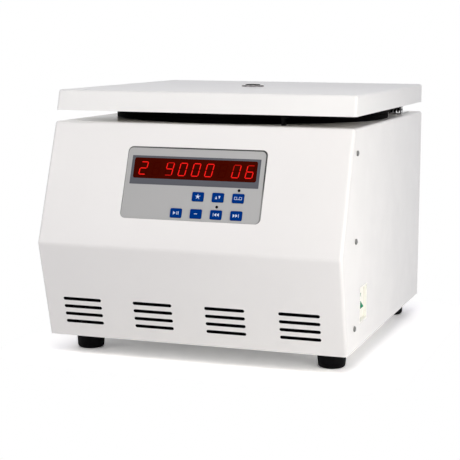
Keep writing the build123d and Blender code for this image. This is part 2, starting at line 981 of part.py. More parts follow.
with BuildPart() as rotor_hub:
    hub_bore = shaft_radius + touch_gap
    add(
        turned(
            [
                (hub_bore, hub_bottom_z),
                (hub_flange_radius, hub_bottom_z),
                (hub_flange_radius, rotor_bottom_z),
                (hub_radius, rotor_bottom_z),
                (hub_radius, hub_top_z),
                (hub_bore, hub_top_z),
            ],
            0,
            chamber_y,
        )
    )
keep("rotor_hub", rotor_hub)

with BuildPart() as rotor_plate:
    add(ring(hub_radius + touch_gap, rotor_radius, rotor_bottom_z, rotor_top_z))
    add(ring(rotor_radius - rotor_plate_thickness, rotor_radius, rotor_top_z - rotor_lip_height, rotor_top_z))
    with BuildSketch(Plane.XY.offset(rotor_bottom_z)):
        with Locations((0, chamber_y)):
            with stations(lightening_pitch_radius):
                Circle(lightening_radius)
    extrude(amount=rotor_plate_thickness, mode=Mode.SUBTRACT)
keep("rotor_plate", rotor_plate)

with BuildPart() as rotor_nut:
    with BuildSketch(Plane.XY.offset(hub_top_z)):
        with Locations((0, chamber_y)):
            Circle(nut_radius)
            with PolarLocations(nut_radius + nut_flute_radius - nut_flute_depth, nut_flute_count):
                Circle(nut_flute_radius, mode=Mode.SUBTRACT)
    extrude(amount=nut_height)
    with BuildSketch(Plane.XY.offset(hub_top_z)):
        with Locations((0, chamber_y)):
            Circle(thread_radius + touch_gap)
    extrude(amount=nut_bore_depth, mode=Mode.SUBTRACT)
keep("rotor_nut", rotor_nut)

slide_middle_radius = slide_back_radius - stack_gap - slide_thickness / 2
card_middle_radius = slide_middle_radius - slide_thickness / 2 - stack_gap - card_thickness / 2
plate_outer_radius = card_middle_radius - card_thickness / 2 - stack_gap
plate_inner_radius = plate_outer_radius - funnel_plate_thickness
plate_middle_radius = (plate_inner_radius + plate_outer_radius) / 2
lip_outer_radius = plate_inner_radius - stack_gap
clip_outer_radius = slide_back_radius + clip_sheet
clip_inner_edge = lip_outer_radius - clip_sheet
clip_half_width = slide_width / 2 + clip_side_gap + clip_sheet
outlet_z = station_z + outlet_height
well_bottom_z = station_z + well_bottom_height
well_top_z = station_z + well_top_height

# Each station's pieces are made once, out along +X from the Z axis, and copied round the rotor.
# The clip is one bent sheet: a foot on the rotor plate, a back, two returns and two lips.
with BuildPart() as slide_clip:
    with BuildSketch(Plane.XY.offset(rotor_top_z)):
        with Locations((clip_outer_radius - clip_foot_length / 2, 0)):
            Rectangle(clip_foot_length, 2 * (clip_half_width - clip_sheet))
    extrude(amount=clip_sheet)
    with BuildSketch(Plane.XY.offset(rotor_top_z)):
        with Locations(((clip_outer_radius + clip_inner_edge) / 2, 0)):
            Rectangle(clip_outer_radius - clip_inner_edge, 2 * clip_half_width)
        with Locations(((slide_back_radius + lip_outer_radius) / 2, 0)):
            Rectangle(
                slide_back_radius - lip_outer_radius,
                2 * (clip_half_width - clip_sheet),
                mode=Mode.SUBTRACT,
            )
        with Locations((clip_inner_edge + clip_sheet / 2, 0)):
            Rectangle(clip_sheet, 2 * (clip_half_width - clip_lip_width), mode=Mode.SUBTRACT)
    extrude(amount=clip_height)
keep("slide_clips", round_rotor(slide_clip.part))

with BuildPart() as glass_slide:
    with BuildSketch(Plane.XY.offset(station_z)):
        with Locations((slide_middle_radius, 0)):
            Rectangle(slide_thickness, slide_width)
    extrude(amount=slide_height)
keep("glass_slides", round_rotor(glass_slide.part))

with BuildPart() as filter_card:
    with BuildSketch(Plane.XY.offset(station_z)):
        with Locations((card_middle_radius, 0)):
            Rectangle(card_thickness, slide_width)
    extrude(amount=card_height)
    with BuildSketch(Plane.YZ.offset(card_middle_radius)):
        with Locations((0, outlet_z)):
            Circle(outlet_bore_radius)
    extrude(amount=card_thickness, both=True, mode=Mode.SUBTRACT)
keep("filter_cards", round_rotor(filter_card.part))

# The sample funnel is a plate that covers the card, an outlet, and an upright well with a cone
# under it that leads down to the outlet.
with BuildPart() as sample_funnel:
    with BuildSketch(Plane.XY.offset(station_z)):
        with Locations((plate_middle_radius, 0)):
            Rectangle(funnel_plate_thickness, funnel_plate_width)
    extrude(amount=funnel_plate_height)
    cone_top_z = outlet_z + outlet_radius + well_cone_height
    add(
        turned(
            [
                (0, well_bottom_z),
                (outlet_radius, well_bottom_z),
                (outlet_radius, outlet_z),
                (well_radius, cone_top_z),
                (well_radius, well_top_z),
                (0, well_top_z),
            ],
            well_axis_radius,
            0,
        )
    )
    with BuildSketch(Plane.YZ.offset(well_axis_radius)):
        with Locations((0, outlet_z)):
            Circle(outlet_radius)
    extrude(amount=plate_middle_radius - well_axis_radius)
    add(
        turned(
            [
                (0, outlet_z - outlet_bore_radius),
                (outlet_bore_radius, outlet_z - outlet_bore_radius),
                (outlet_bore_radius, outlet_z),
                (well_bore_radius, cone_top_z),
                (well_bore_radius, well_top_z),
                (0, well_top_z),
            ],
            well_axis_radius,
            0,
        ),
        mode=Mode.SUBTRACT,
    )
    with BuildSketch(Plane.YZ.offset(well_axis_radius)):
        with Locations((0, outlet_z)):
            Circle(outlet_bore_radius)
    extrude(amount=slide_back_radius - well_axis_radius, mode=Mode.SUBTRACT)
keep("sample_funnels", round_rotor(sample_funnel.part))

with BuildPart() as funnel_cap:
    with BuildSketch(Plane.XY.offset(well_top_z)):
        with Locations((well_axis_radius, 0)):
            Circle(cap_radius)
    extrude(amount=cap_height)
    with BuildSketch(Plane.XY.offset(well_top_z)):
        with Locations((well_axis_radius, 0)):
            Circle(well_bore_radius - cap_plug_gap)
    extrude(amount=-cap_plug_length)
keep("funnel_caps", round_rotor(funnel_cap.part))

# ---------------------------------------------------------------- lid

sight_hole_radius = sight_tube_radius + sight_hole_gap


def sight_hole(z):
    """The hole round the sight tube, cut down through one sheet whose top is at z."""
    with BuildSketch(Plane.XY.offset(z)) as hole:
        with Locations((0, chamber_y)):
            Circle(sight_hole_radius)
    extrude(hole.sketch, amount=-2 * liner_thickness, mode=Mode.SUBTRACT)


with BuildPart() as lid_shell:
    add(lid_block())
    add(lid_block(sheet, clearance_run), mode=Mode.SUBTRACT)
    sight_hole(lid_top_z)
keep("lid_shell", lid_shell)

with BuildPart() as lid_pan:
    pan_block = lid_block(sheet + panel_gap, clearance_run)
    pan_space = lid_block(2 * sheet + panel_gap, clearance_run)
    add(banded(pan_block, y_rear, pan_bottom_z, pan_bottom_z + pan_lip))
    add(banded(pan_space, y_rear, pan_bottom_z + sheet, lid_top_z), mode=Mode.SUBTRACT)
    sight_hole(pan_bottom_z + sheet)
keep("lid_pan", lid_pan)

with BuildPart() as lid_liner:
    add(ring(sight_hole_radius, collar_radius, liner_bottom_z, pan_bottom_z))
keep("lid_liner", lid_liner)

with BuildPart() as lid_collar:
    add(ring(collar_radius - collar_width, collar_radius, collar_bottom_z, liner_bottom_z))
keep("lid_collar", lid_collar)

with BuildPart() as sight_ring:
    bore = sight_tube_radius - sight_tube_wall
    ledge = bore - sight_ledge_width
    ledge_top = lid_top_z + sight_ring_height - sight_glass_thickness - sheet
    ledge_bottom = ledge_top - sight_ledge_height
    tube_bottom = liner_bottom_z - sheet / 2
    add(
        turned(
            [
                (sight_tube_radius, tube_bottom),
                (sight_tube_radius, lid_top_z),
                (sight_ring_radius, lid_top_z),
                (sight_ring_radius, lid_top_z + sight_ring_height - 1),
                (sight_ring_radius - 1, lid_top_z + sight_ring_height),
                (bore, lid_top_z + sight_ring_height),
                (bore, ledge_top),
                (ledge, ledge_top),
                (ledge, ledge_bottom),
                (bore, ledge_bottom),
                (bore, tube_bottom),
            ],
            0,
            chamber_y,
        )
    )
keep("sight_ring", sight_ring)

with BuildPart() as sight_glass:
    with BuildSketch(Plane.XY.offset(ledge_top)):
        with Locations((0, chamber_y)):
            Circle(bore - touch_gap)
    extrude(amount=sight_glass_thickness)
keep("sight_glass", sight_glass)

striker_tip_z = z_deck - striker_tip_below_deck

with BuildPart() as lid_striker:
    striker_foot_z = pan_bottom_z - striker_foot_height
    with BuildSketch(Plane.XY.offset(striker_foot_z)):
        with Locations((striker_x + (striker_foot_width - striker_thickness) / 2, striker_y)):
            Rectangle(striker_foot_width, striker_foot_length)
    extrude(amount=striker_foot_height)
    with BuildSketch(Plane.XY.offset(striker_tip_z)):
        with Locations((striker_x, striker_y)):
            Rectangle(striker_thickness, striker_width)
    extrude(amount=striker_foot_z - striker_tip_z)
    with BuildSketch(Plane.YZ.offset(striker_x)):
        with Locations((striker_y, striker_tip_z + striker_eye_from_tip + striker_eye_height / 2)):
            Rectangle(striker_eye_width, striker_eye_height)
    extrude(amount=striker_thickness, both=True, mode=Mode.SUBTRACT)
keep("lid_striker", lid_striker)

# ---------------------------------------------------------------- lid hinges

leaf_front_y = y_rear - hinge_leaf_length - hinge_axis_inset
hinge_side_length = (hinge_length - hinge_lid_knuckle) / 2


def knuckle(x_low, x_high, web_low, web_high, web_rear):
    """A hinge knuckle along X with the web that joins it to its leaf, bored for the pin."""
    with BuildPart() as body:
        with BuildSketch(Plane.YZ.offset(x_low)):
            with Locations((hinge_axis_y, hinge_axis_z)):
                Circle(hinge_knuckle_radius)
            web_front = hinge_axis_y - hinge_knuckle_radius
            with Locations(((web_front + web_rear) / 2, (web_low + web_high) / 2)):
                Rectangle(web_rear - web_front, web_high - web_low)
            with Locations((hinge_axis_y, hinge_axis_z)):
                Circle(hinge_pin_radius + running_gap, mode=Mode.SUBTRACT)
        extrude(amount=x_high - x_low)
    return body.part


with BuildPart() as hinge_deck_leaves:
    leaf_rear_y = hinge_axis_y + hinge_knuckle_radius
    for x in (-hinge_x, hinge_x):
        with Locations((x, (leaf_front_y + leaf_rear_y) / 2, z_deck + hinge_leaf_thickness / 2)):
            Box(hinge_length, leaf_rear_y - leaf_front_y, hinge_leaf_thickness)
        low_end = x - hinge_length / 2
        high_end = x + hinge_length / 2 - hinge_side_length + hinge_knuckle_gap
        for start in (low_end, high_end):
            end = start + hinge_side_length - hinge_knuckle_gap
            add(knuckle(start, end, z_deck, hinge_axis_z, leaf_rear_y))
keep("hinge_deck_leaves", hinge_deck_leaves)

with BuildPart() as hinge_lid_leaves:
    lid_web_rear = hinge_axis_y + hinge_web_rear
    lid_leaf_z = pan_bottom_z - hinge_leaf_thickness
    for x in (-hinge_x, hinge_x):
        with Locations((x, (leaf_front_y + lid_web_rear) / 2, lid_leaf_z + hinge_leaf_thickness / 2)):
            Box(hinge_length, lid_web_rear - leaf_front_y, hinge_leaf_thickness)
        start = x - hinge_lid_knuckle / 2
        add(knuckle(start, start + hinge_lid_knuckle, hinge_axis_z, lid_leaf_z, lid_web_rear))
keep("hinge_lid_leaves", hinge_lid_leaves)

with BuildPart() as hinge_pins:
    for x in (-hinge_x, hinge_x):
        with BuildSketch(Plane.YZ.offset(x)):
            with Locations((hinge_axis_y, hinge_axis_z)):
                Circle(hinge_pin_radius)
        extrude(amount=hinge_length / 2, both=True)
keep("hinge_pins", hinge_pins)

# ---------------------------------------------------------------- lift springs

lift_pin_z = z_deck + lift_pin_rise
lift_base_top = z_deck + lift_base_thickness

with BuildPart() as lift_spring_brackets:
    for x in (-lift_x, lift_x):
        base_middle_y = lift_y + (lift_leaf_rear - lift_leaf_front) / 2
        with Locations((x, base_middle_y, z_deck + lift_base_thickness / 2)):
            Box(lift_length, lift_leaf_rear + lift_leaf_front, lift_base_thickness)
        for start in (x - lift_length / 2, x + lift_length / 2 - lift_ear_thickness):
            with BuildSketch(Plane.YZ.offset(start)):
                with Locations((lift_y, lift_pin_z)):
                    Circle(lift_ear_radius)
                with Locations((lift_y, (z_deck + lift_pin_z) / 2)):
                    Rectangle(2 * lift_ear_radius, lift_pin_z - z_deck)
            extrude(amount=lift_ear_thickness)
        with BuildSketch(Plane.YZ.offset(x)):
            with Locations((lift_y, lift_pin_z)):
                Circle(lift_pin_radius)
        extrude(amount=lift_length / 2, both=True)
keep("lift_spring_brackets", lift_spring_brackets)


def lift_coil(x):
    """A close-wound torsion spring on its pin, with one leg on the bracket and one under the lid."""
    coil_length = lift_length - 2 * lift_ear_thickness - 2 * lift_end_gap
    turn = coil_length / lift_coil_count
    start = x - coil_length / 2
    leg_offset = lift_coil_radius - lift_wire_radius
    with BuildPart() as coil:
        with BuildSketch(Plane((0, lift_y, lift_pin_z), x_dir=(1, 0, 0), z_dir=(0, -1, 0))):
            with BuildLine():
                points = [(start, lift_coil_bore), (start, lift_coil_valley)]
                for index in range(lift_coil_count):
                    middle = start + (index + 0.5) * turn
                    crest = lift_coil_crest * turn / 2
                    points.append((middle - crest, lift_coil_radius))
                    points.append((middle + crest, lift_coil_radius))
                    points.append((middle + turn / 2, lift_coil_valley))
                points.append((start + coil_length, lift_coil_bore))
                Polyline(*points, close=True)
            make_face()
        revolve(axis=Axis((0, lift_y, lift_pin_z), (1, 0, 0)))
        low_leg_z = lift_base_top + lift_wire_radius + touch_gap
        with BuildSketch(Plane.XZ.offset(-lift_y - lift_coil_bore)):
            with Locations(
                (start + turn / 2, low_leg_z),
                (start + coil_length - turn / 2, lift_pin_z + leg_offset),
            ):
                Circle(lift_wire_radius)
        extrude(amount=-lift_leg_length)
    return coil.part


with BuildPart() as lift_springs:
    add(lift_coil(-lift_x))
    add(lift_coil(lift_x))
keep("lift_springs", lift_springs)

# ---------------------------------------------------------------- lid lock

bolt_z = striker_tip_z + striker_eye_from_tip + striker_eye_height / 2
lock_slot_low = striker_x - deck_slot_width / 2
lock_slot_high = striker_x + deck_slot_width / 2
bolt_tip_x = lock_slot_high + bolt_rest_gap

with BuildPart() as lock_body:
    low_x = lock_slot_low - lock_near_length
    high_x = lock_slot_high + lock_far_length
    with Locations(((low_x + high_x) / 2, striker_y, z_under_deck - lock_height / 2)):
        Box(high_x - low_x, lock_width, lock_height)
    with Locations((striker_x, striker_y, z_under_deck - lock_height / 2)):
        Box(deck_slot_width, lock_width - 2 * sheet, lock_height + 1, mode=Mode.SUBTRACT)
    with BuildSketch(Plane.YZ.offset(low_x + sheet)):
        with Locations((striker_y, bolt_z)):
            Circle(bolt_radius + running_gap)
    extrude(amount=bolt_tip_x + bolt_length + sheet - low_x, mode=Mode.SUBTRACT)
keep("lock_body", lock_body)

with BuildPart() as lock_bolt:
    with BuildSketch(Plane.YZ.offset(bolt_tip_x)):
        with Locations((striker_y, bolt_z)):
            Circle(bolt_radius)
    extrude(amount=bolt_length)
    chamfer(lock_bolt.edges().sort_by(Axis.X)[0], bolt_rest_gap)
keep("lock_bolt", lock_bolt)

# ---------------------------------------------------------------- control panel

key_openings = list(key_places.values())
board_width = panel_width - 2 * board_margin
board_height = panel_height - 2 * board_margin
post_x = board_width / 2 - board_post_inset
post_up = board_height / 2 - board_post_inset

with BuildPart() as control_panel:
    face_width = panel_width - 2 * panel_side_gap
    face_height = panel_height - 2 * panel_side_gap
    with BuildSketch(upper_face.offset(panel_front)):
        with Locations((panel_x, panel_up)):
            RectangleRounded(face_width, face_height, panel_corner_radius - panel_side_gap)
    extrude(amount=panel_back - panel_front)
    with BuildSketch(upper_face.offset(panel_step)):
        with Locations((panel_x, panel_up)):
            Rectangle(panel_width + 2 * panel_back_margin, panel_height + 2 * panel_back_margin)
    extrude(amount=-panel_back_thickness)
    with BuildSketch(upper_face.offset(panel_back)):
        with Locations((panel_x, panel_up)):
            with GridLocations(2 * post_x, 2 * post_up, 2, 2):
                Circle(board_post_radius)
    extrude(amount=-board_standoff)
    with BuildSketch(upper_face.offset(panel_front)):
        with Locations((window_x, window_up)):
            opening_width = window_width + 2 * window_gap
            opening_height = window_height + 2 * window_gap
            RectangleRounded(opening_width, opening_height, window_corner_radius + window_gap)
        with Locations(*key_openings):
            RectangleRounded(key_width + 2 * key_gap, key_height + 2 * key_gap, key_corner_radius + key_gap)
        with Locations(*led_places):
            Circle(led_radius + led_gap)
    extrude(amount=2 * panel_back, mode=Mode.SUBTRACT)
keep("control_panel", control_panel)

with BuildPart() as display_window:
    with BuildSketch(upper_face.offset(panel_front)):
        with Locations((window_x, window_up)):
            RectangleRounded(window_width, window_height, window_corner_radius)
    extrude(amount=-window_thickness)
keep("display_window", display_window)

with BuildPart() as control_board:
    with BuildSketch(upper_face.offset(board_front)):
        with Locations((panel_x, panel_up)):
            Rectangle(board_width, board_height)
    extrude(amount=-board_thickness)
    with BuildSketch(upper_face.offset(board_front)):
        with Locations(*key_openings):
            Rectangle(switch_size, switch_size)
    extrude(amount=switch_height)
keep("control_board", control_board)

with BuildPart() as display_module:
    with BuildSketch(upper_face.offset(board_front)):
        with Locations((window_x, window_up)):
            Rectangle(window_width - 2 * display_margin, window_height - 2 * display_margin)
    extrude(amount=panel_front - window_thickness - panel_gap - board_front)
keep("display_module", display_module)

with BuildPart() as indicator_leds:
    with BuildSketch(upper_face.offset(board_front)):
        with Locations(*led_places):
            Circle(led_radius)
    extrude(amount=panel_front + panel_gap - board_front)
keep("indicator_leds", indicator_leds)

for key_name, (x, up) in key_places.items():
    with BuildPart() as key:
        with BuildSketch(upper_face.offset(key_front)):
            with Locations((x, up)):
                RectangleRounded(key_width, key_height, key_corner_radius)
        extrude(amount=key_flange_back - key_front)
        with BuildSketch(upper_face.offset(key_flange_front)):
            with Locations((x, up)):
                Rectangle(key_width + 2 * key_flange, key_height + 2 * key_flange)
        extrude(amount=-key_flange_thickness)
        with BuildSketch(upper_face.offset(key_flange_back)):
            with Locations((x, up)):
                Rectangle(key_stem, key_stem)
        extrude(amount=key_stem_end - key_flange_back)
    keep(key_name, key)

# ---------------------------------------------------------------- power switch

rocker_y = switch_y - rocker_forward
rocker_pivot_z = switch_z + rocker_lift
rocker_pivot_x = x_side - switch_well_depth - rocker_pivot_depth

with BuildPart() as switch_housing:
    with BuildSketch(Plane.YZ.offset(x_side)):
        with Locations((switch_y, switch_z)):
            Rectangle(switch_width - 2 * switch_side_gap, switch_opening_height - 2 * switch_side_gap)
    extrude(amount=-switch_body_depth)
    with BuildSketch(Plane.YZ.offset(x_side)):
        with Locations((switch_y, switch_z)):
            Rectangle(switch_width - 2 * switch_wall, switch_opening_height - 2 * switch_wall)
    extrude(amount=-switch_well_depth, mode=Mode.SUBTRACT)
    with BuildSketch(Plane.YZ.offset(x_side - switch_well_depth)):
        with Locations((rocker_y, rocker_pivot_z)):
            Rectangle(rocker_width + 2 * rocker_gap, 2 * (rocker_half_length + rocker_end_gap))
    extrude(amount=-rocker_pivot_depth - rocker_barrel_radius - sheet, mode=Mode.SUBTRACT)
    with BuildSketch(Plane.XZ.offset(-rocker_y)):
        with Locations((rocker_pivot_x, rocker_pivot_z)):
            Circle(rocker_pin_radius + running_gap)
    pin_reach = rocker_width / 2 + rocker_pin_length + panel_gap
    extrude(amount=pin_reach, both=True, mode=Mode.SUBTRACT)
keep("switch_housing", switch_housing)

# The rocker's face is a shallow V with bevelled ends; at rest its lower end stands out
# of the well.
with BuildPart() as power_rocker:
    rest_tilt = rocker_throw / 2
    rocker_plane = Plane(
        (rocker_pivot_x, rocker_y, rocker_pivot_z),
        x_dir=(sin(radians(rest_tilt)), 0, -cos(radians(rest_tilt))),
        z_dir=(0, -1, 0),
    )
    with BuildSketch(rocker_plane):
        with BuildLine():
            face_rise = rocker_pivot_depth + rocker_end_rise
            bevel_end = rocker_half_length + rocker_bevel_length
            bevel_rise = face_rise - rocker_bevel_drop
            Polyline(
                (0, rocker_pivot_depth),
                (rocker_half_length, face_rise),
                (bevel_end, bevel_rise),
                (rocker_skirt_half, rocker_skirt_rise),
                (rocker_barrel_radius, -rocker_skirt_rise),
                (-rocker_barrel_radius, -rocker_skirt_rise),
                (-rocker_skirt_half, rocker_skirt_rise),
                (-bevel_end, bevel_rise),
                (-rocker_half_length, face_rise),
                close=True,
            )
        make_face()
        Circle(rocker_barrel_radius)
    extrude(amount=rocker_width / 2, both=True)
    with BuildSketch(rocker_plane):
        Circle(rocker_pin_radius)
    extrude(amount=rocker_width / 2 + rocker_pin_length, both=True)
keep("power_rocker", power_rocker)

# ---------------------------------------------------------------- mains inlet

rear_face = rear_plane(rear_plate_y + sheet)
inlet_place = (-inlet_x, inlet_z)
inlet_pin_places = (
    (-inlet_x - inlet_pin_pitch / 2, inlet_z - inlet_earth_rise / 2),
    (-inlet_x + inlet_pin_pitch / 2, inlet_z - inlet_earth_rise / 2),
    (-inlet_x, inlet_z + inlet_earth_rise / 2),
)
inlet_floor = inlet_flange_thickness - inlet_cavity_depth


def inlet_pin_sketch(depth):
    """The three pins, seen from the rear, on a plane at a height over the rear panel."""
    with BuildSketch(rear_face.offset(depth)) as pins:
        with Locations(*inlet_pin_places):
            Rectangle(inlet_pin_width, inlet_pin_height)
    return pins.sketch


with BuildPart() as inlet_socket:
    with BuildSketch(rear_face):
        with Locations(inlet_place):
            RectangleRounded(inlet_flange_width, inlet_flange_height, inlet_corner_radius)
    extrude(amount=inlet_flange_thickness)
    with BuildSketch(rear_face):
        with Locations(inlet_place):
            Rectangle(inlet_body_width, inlet_body_height)
    extrude(amount=-inlet_body_depth)
    with BuildSketch(rear_face.offset(inlet_flange_thickness)) as cavity:
        with Locations(inlet_place):
            Rectangle(inlet_cavity_width, inlet_cavity_height)
        chamfer(cavity.vertices().group_by(Axis.Y)[-1], inlet_corner_chamfer)
    extrude(amount=-inlet_cavity_depth, mode=Mode.SUBTRACT)
    extrude(inlet_pin_sketch(inlet_floor), amount=-inlet_body_depth, mode=Mode.SUBTRACT)
keep("inlet_socket", inlet_socket)

with BuildPart() as inlet_pins:
    pin_back = -inlet_body_depth - inlet_pin_tail
    extrude(inlet_pin_sketch(pin_back), amount=inlet_floor + inlet_pin_length - pin_back)
keep("inlet_pins", inlet_pins)

# ---------------------------------------------------------------- fan

fan_place = (-fan_x, fan_z)
fan_blade_radius = fan_bore_radius - fan_blade_gap
fan_front = rear_plane(rear_plate_y)
fan_motor_plane = rear_plane(rear_plate_y - fan_depth)
fan_rotor_front = rear_plate_y - fan_depth + fan_motor_depth + fan_rotor_gap
fan_rotor_rear = rear_plate_y - 2 * fan_rotor_gap
fan_axis = Axis((fan_x, rear_plate_y, fan_z), (0, 1, 0))

with BuildPart() as fan_frame:
    with BuildSketch(fan_front):
        with Locations(fan_place):
            RectangleRounded(fan_size, fan_size, fan_corner_radius)
            Circle(fan_bore_radius, mode=Mode.SUBTRACT)
            with GridLocations(fan_screw_pitch, fan_screw_pitch, 2, 2):
                Circle(screw_shank_radius + touch_gap, mode=Mode.SUBTRACT)
    extrude(amount=-fan_depth)
    with BuildSketch(fan_motor_plane):
        with Locations(fan_place):
            Circle(fan_hub_radius)
            Rectangle(2 * fan_bore_radius + 1, fan_strut_width)
            Rectangle(fan_strut_width, 2 * fan_bore_radius + 1)
            Circle(fan_spindle_radius + running_gap, mode=Mode.SUBTRACT)
    extrude(amount=fan_motor_depth)
keep("fan_frame", fan_frame)


def fan_blade(index):
    """One pitched blade, as a flat plate longer than the fan is wide."""
    angle = radians(index * 360 / fan_blade_count)
    pitch = radians(fan_blade_angle)
    out = Vector(cos(angle), 0, sin(angle))
    around = Vector(-sin(angle), 0, cos(angle))
    back = Vector(0, 1, 0)
    middle = Vector(fan_x, (fan_rotor_front + fan_rotor_rear) / 2, fan_z) + out * fan_blade_radius / 2
    plane = Plane(middle, x_dir=out, z_dir=around * sin(pitch) - back * cos(pitch))
    with BuildPart() as blade:
        with BuildSketch(plane):
            Rectangle(fan_blade_radius + fan_blade_thickness, fan_blade_chord)
        extrude(amount=fan_blade_thickness / 2, both=True)
    return blade.part


with BuildPart() as fan_rotor:
    for index in range(fan_blade_count):
        add(fan_blade(index))
    with BuildSketch(rear_plane(fan_rotor_rear)):
        with Locations(fan_place):
            Circle(fan_blade_radius)
    extrude(amount=fan_rotor_front - fan_rotor_rear, mode=Mode.INTERSECT)
    with BuildSketch(rear_plane(fan_rotor_rear)):
        with Locations(fan_place):
            Circle(fan_hub_radius)
    extrude(amount=fan_rotor_front - fan_rotor_rear)
    with BuildSketch(rear_plane(fan_rotor_front)):
        with Locations(fan_place):
            Circle(fan_spindle_radius)
    extrude(amount=-fan_rotor_gap - fan_spindle_length)
keep("fan_rotor", fan_rotor)

# ---------------------------------------------------------------- power supply

# The supply is one assembly: a board on posts with a transformer, a heat sink and capacitors.
with BuildPart() as power_board:
    board_bottom = tray_top_z + supply_post_height
    board_top = board_bottom + board_thickness
    with BuildSketch(Plane.XY.offset(tray_top_z)):
        with Locations((supply_x, supply_y)):
            with GridLocations(
                supply_width - 2 * supply_post_inset, supply_length - 2 * supply_post_inset, 2, 2
            ):
                Circle(supply_post_radius)
    extrude(amount=supply_post_height)
    with BuildSketch(Plane.XY.offset(board_bottom)):
        with Locations((supply_x, supply_y)):
            Rectangle(supply_width, supply_length)
    extrude(amount=board_thickness)
    with BuildSketch(Plane.XY.offset(board_top)):
        with Locations((supply_x, supply_y + transformer_back)):
            Rectangle(transformer_width, transformer_length)
    extrude(amount=transformer_height)
    with BuildSketch(Plane.XY.offset(board_top)):
        with Locations((supply_x, supply_y - capacitor_forward)):
            with GridLocations(capacitor_pitch, 0, 2, 1):
                Circle(capacitor_radius)
    extrude(amount=capacitor_height)
    with BuildSketch(Plane.XY.offset(board_top)):
        with Locations((supply_x, supply_y - heat_sink_forward)):
            Rectangle(heat_sink_width, heat_sink_thickness)
            with GridLocations(fin_pitch, 0, fin_count, 1):
                Rectangle(fin_thickness, fin_length)
    extrude(amount=heat_sink_height)
keep("power_board", power_board)

# ---------------------------------------------------------------- files

os.makedirs("parts", exist_ok=True)
for name, part in nodes.items():
    export_step(part, f"parts/{name}.step")
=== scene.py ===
"""Looks of the cytocentrifuge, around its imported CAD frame. Metres, +Z up, the front at -Y."""

import math

import bmesh
import bpy
from mathutils import Matrix, Vector


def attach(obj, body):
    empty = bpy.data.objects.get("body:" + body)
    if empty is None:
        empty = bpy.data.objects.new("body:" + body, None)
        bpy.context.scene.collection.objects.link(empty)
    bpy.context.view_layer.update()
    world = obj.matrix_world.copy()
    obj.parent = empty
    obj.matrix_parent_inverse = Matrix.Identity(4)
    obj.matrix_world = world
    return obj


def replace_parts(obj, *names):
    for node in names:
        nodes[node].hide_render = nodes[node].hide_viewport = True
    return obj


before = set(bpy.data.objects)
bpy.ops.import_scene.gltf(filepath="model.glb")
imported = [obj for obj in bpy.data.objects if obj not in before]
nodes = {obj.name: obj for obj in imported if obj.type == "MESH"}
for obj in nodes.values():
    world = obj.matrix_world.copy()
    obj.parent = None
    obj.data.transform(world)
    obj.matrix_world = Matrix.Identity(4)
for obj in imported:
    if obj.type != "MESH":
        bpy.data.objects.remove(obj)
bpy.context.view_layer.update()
MM = 0.001

# ---- the two leaning front faces: x across, s up the face, out along its outward normal ----


def leaning(origin, up, normal):
    """Gives the function that places a point on a leaning face, from millimetres x, s and out."""
    def place(x, s, out=0.0):
        return origin + Vector((x * MM, 0, 0)) + up * (s * MM) + normal * (out * MM)
    return place


# The upper face, from the crease up, and the lower face, from its bottom edge up.
on_face = leaning(Vector((0, -0.210, 0.1325)), Vector((0, 0.350739, 0.936473)),
                  Vector((0, -0.936473, 0.350739)))
on_lower = leaning(Vector((0, -0.179, 0.023)), Vector((0, -0.2724, 0.9622)),
                   Vector((0, -0.9622, -0.2724)))

# Where the recessed panel and the key tops lie, out of the upper face.
PANEL_FACE, KEY_FACE = -0.8, -0.2
# How far thin print reaches into the surface that carries it, and how far it stands out.
PRINT_IN, PRINT_OUT = 0.02, 0.05

# ---- node materials ----

# The range that most of a noise texture's values lie in.
NOISE_LOW, NOISE_HIGH = 0.3, 0.7
# How many times finer the patches of gloss are than those of colour.
GLOSS_FINER = 3
# Brushed lines: their texture's scale, and how many times longer than wide they are.
BRUSH_SCALE, BRUSH_STRETCH = 40.0, 60.0


def srgb(r, g, b):
    """Linear colour of an sRGB colour given as 0 to 255."""
    def linear(v):
        v /= 255
        return v / 12.92 if v <= 0.04045 else ((v + 0.055) / 1.055) ** 2.4
    return (linear(r), linear(g), linear(b), 1)


def shade(colour, factor):
    """The linear colour, lighter or darker."""
    return (*[min(1.0, c * factor) for c in colour[:3]], 1)


def set_sockets(node, values):
    """Sets a node's input sockets, each named with _ for a space."""
    for socket, value in values.items():
        node.inputs[socket.replace("_", " ")].default_value = value


class Nodes:
    """A node tree, with short ways to add nodes and join them."""

    def __init__(self, tree):
        self.tree = tree

    def node(self, kind, settings=None, **inputs):
        """Adds a node with its settings, which come first, and its input sockets."""
        made = self.tree.nodes.new(kind)
        for setting, value in (settings or {}).items():
            setattr(made, setting, value)
        set_sockets(made, inputs)
        return made

    def link(self, out, into):
        self.tree.links.new(out, into)
        return self

    def vector(self, operation, first, second=None, output="Vector"):
        """One step of vector arithmetic on a node's output."""
        made = self.node("ShaderNodeVectorMath", {"operation": operation})
        self.link(first, made.inputs[0])
        if second is not None:
            made.inputs[1].default_value = second
        return made.outputs[output]

    def joined(self, first, second, fac=None):
        """Adds two shaders, or mixes them by fac."""
        made = self.node("ShaderNodeAddShader" if fac is None else "ShaderNodeMixShader")
        self.link(first, made.inputs[-2]).link(second, made.inputs[-1])
        if fac is not None:
            self.link(fac, made.inputs["Fac"])
        return made.outputs[0]

    def background_rays(self):
        """1 for what the camera, mirrors and glass see, and 0 for light."""
        rays = self.node("ShaderNodeLightPath")
        total = rays.outputs["Is Camera Ray"]
        for name in ("Is Glossy Ray", "Is Transmission Ray"):
            either = self.node("ShaderNodeMath", {"operation": "MAXIMUM"})
            self.link(total, either.inputs[0]).link(rays.outputs[name], either.inputs[1])
            total = either.outputs[0]
        return total


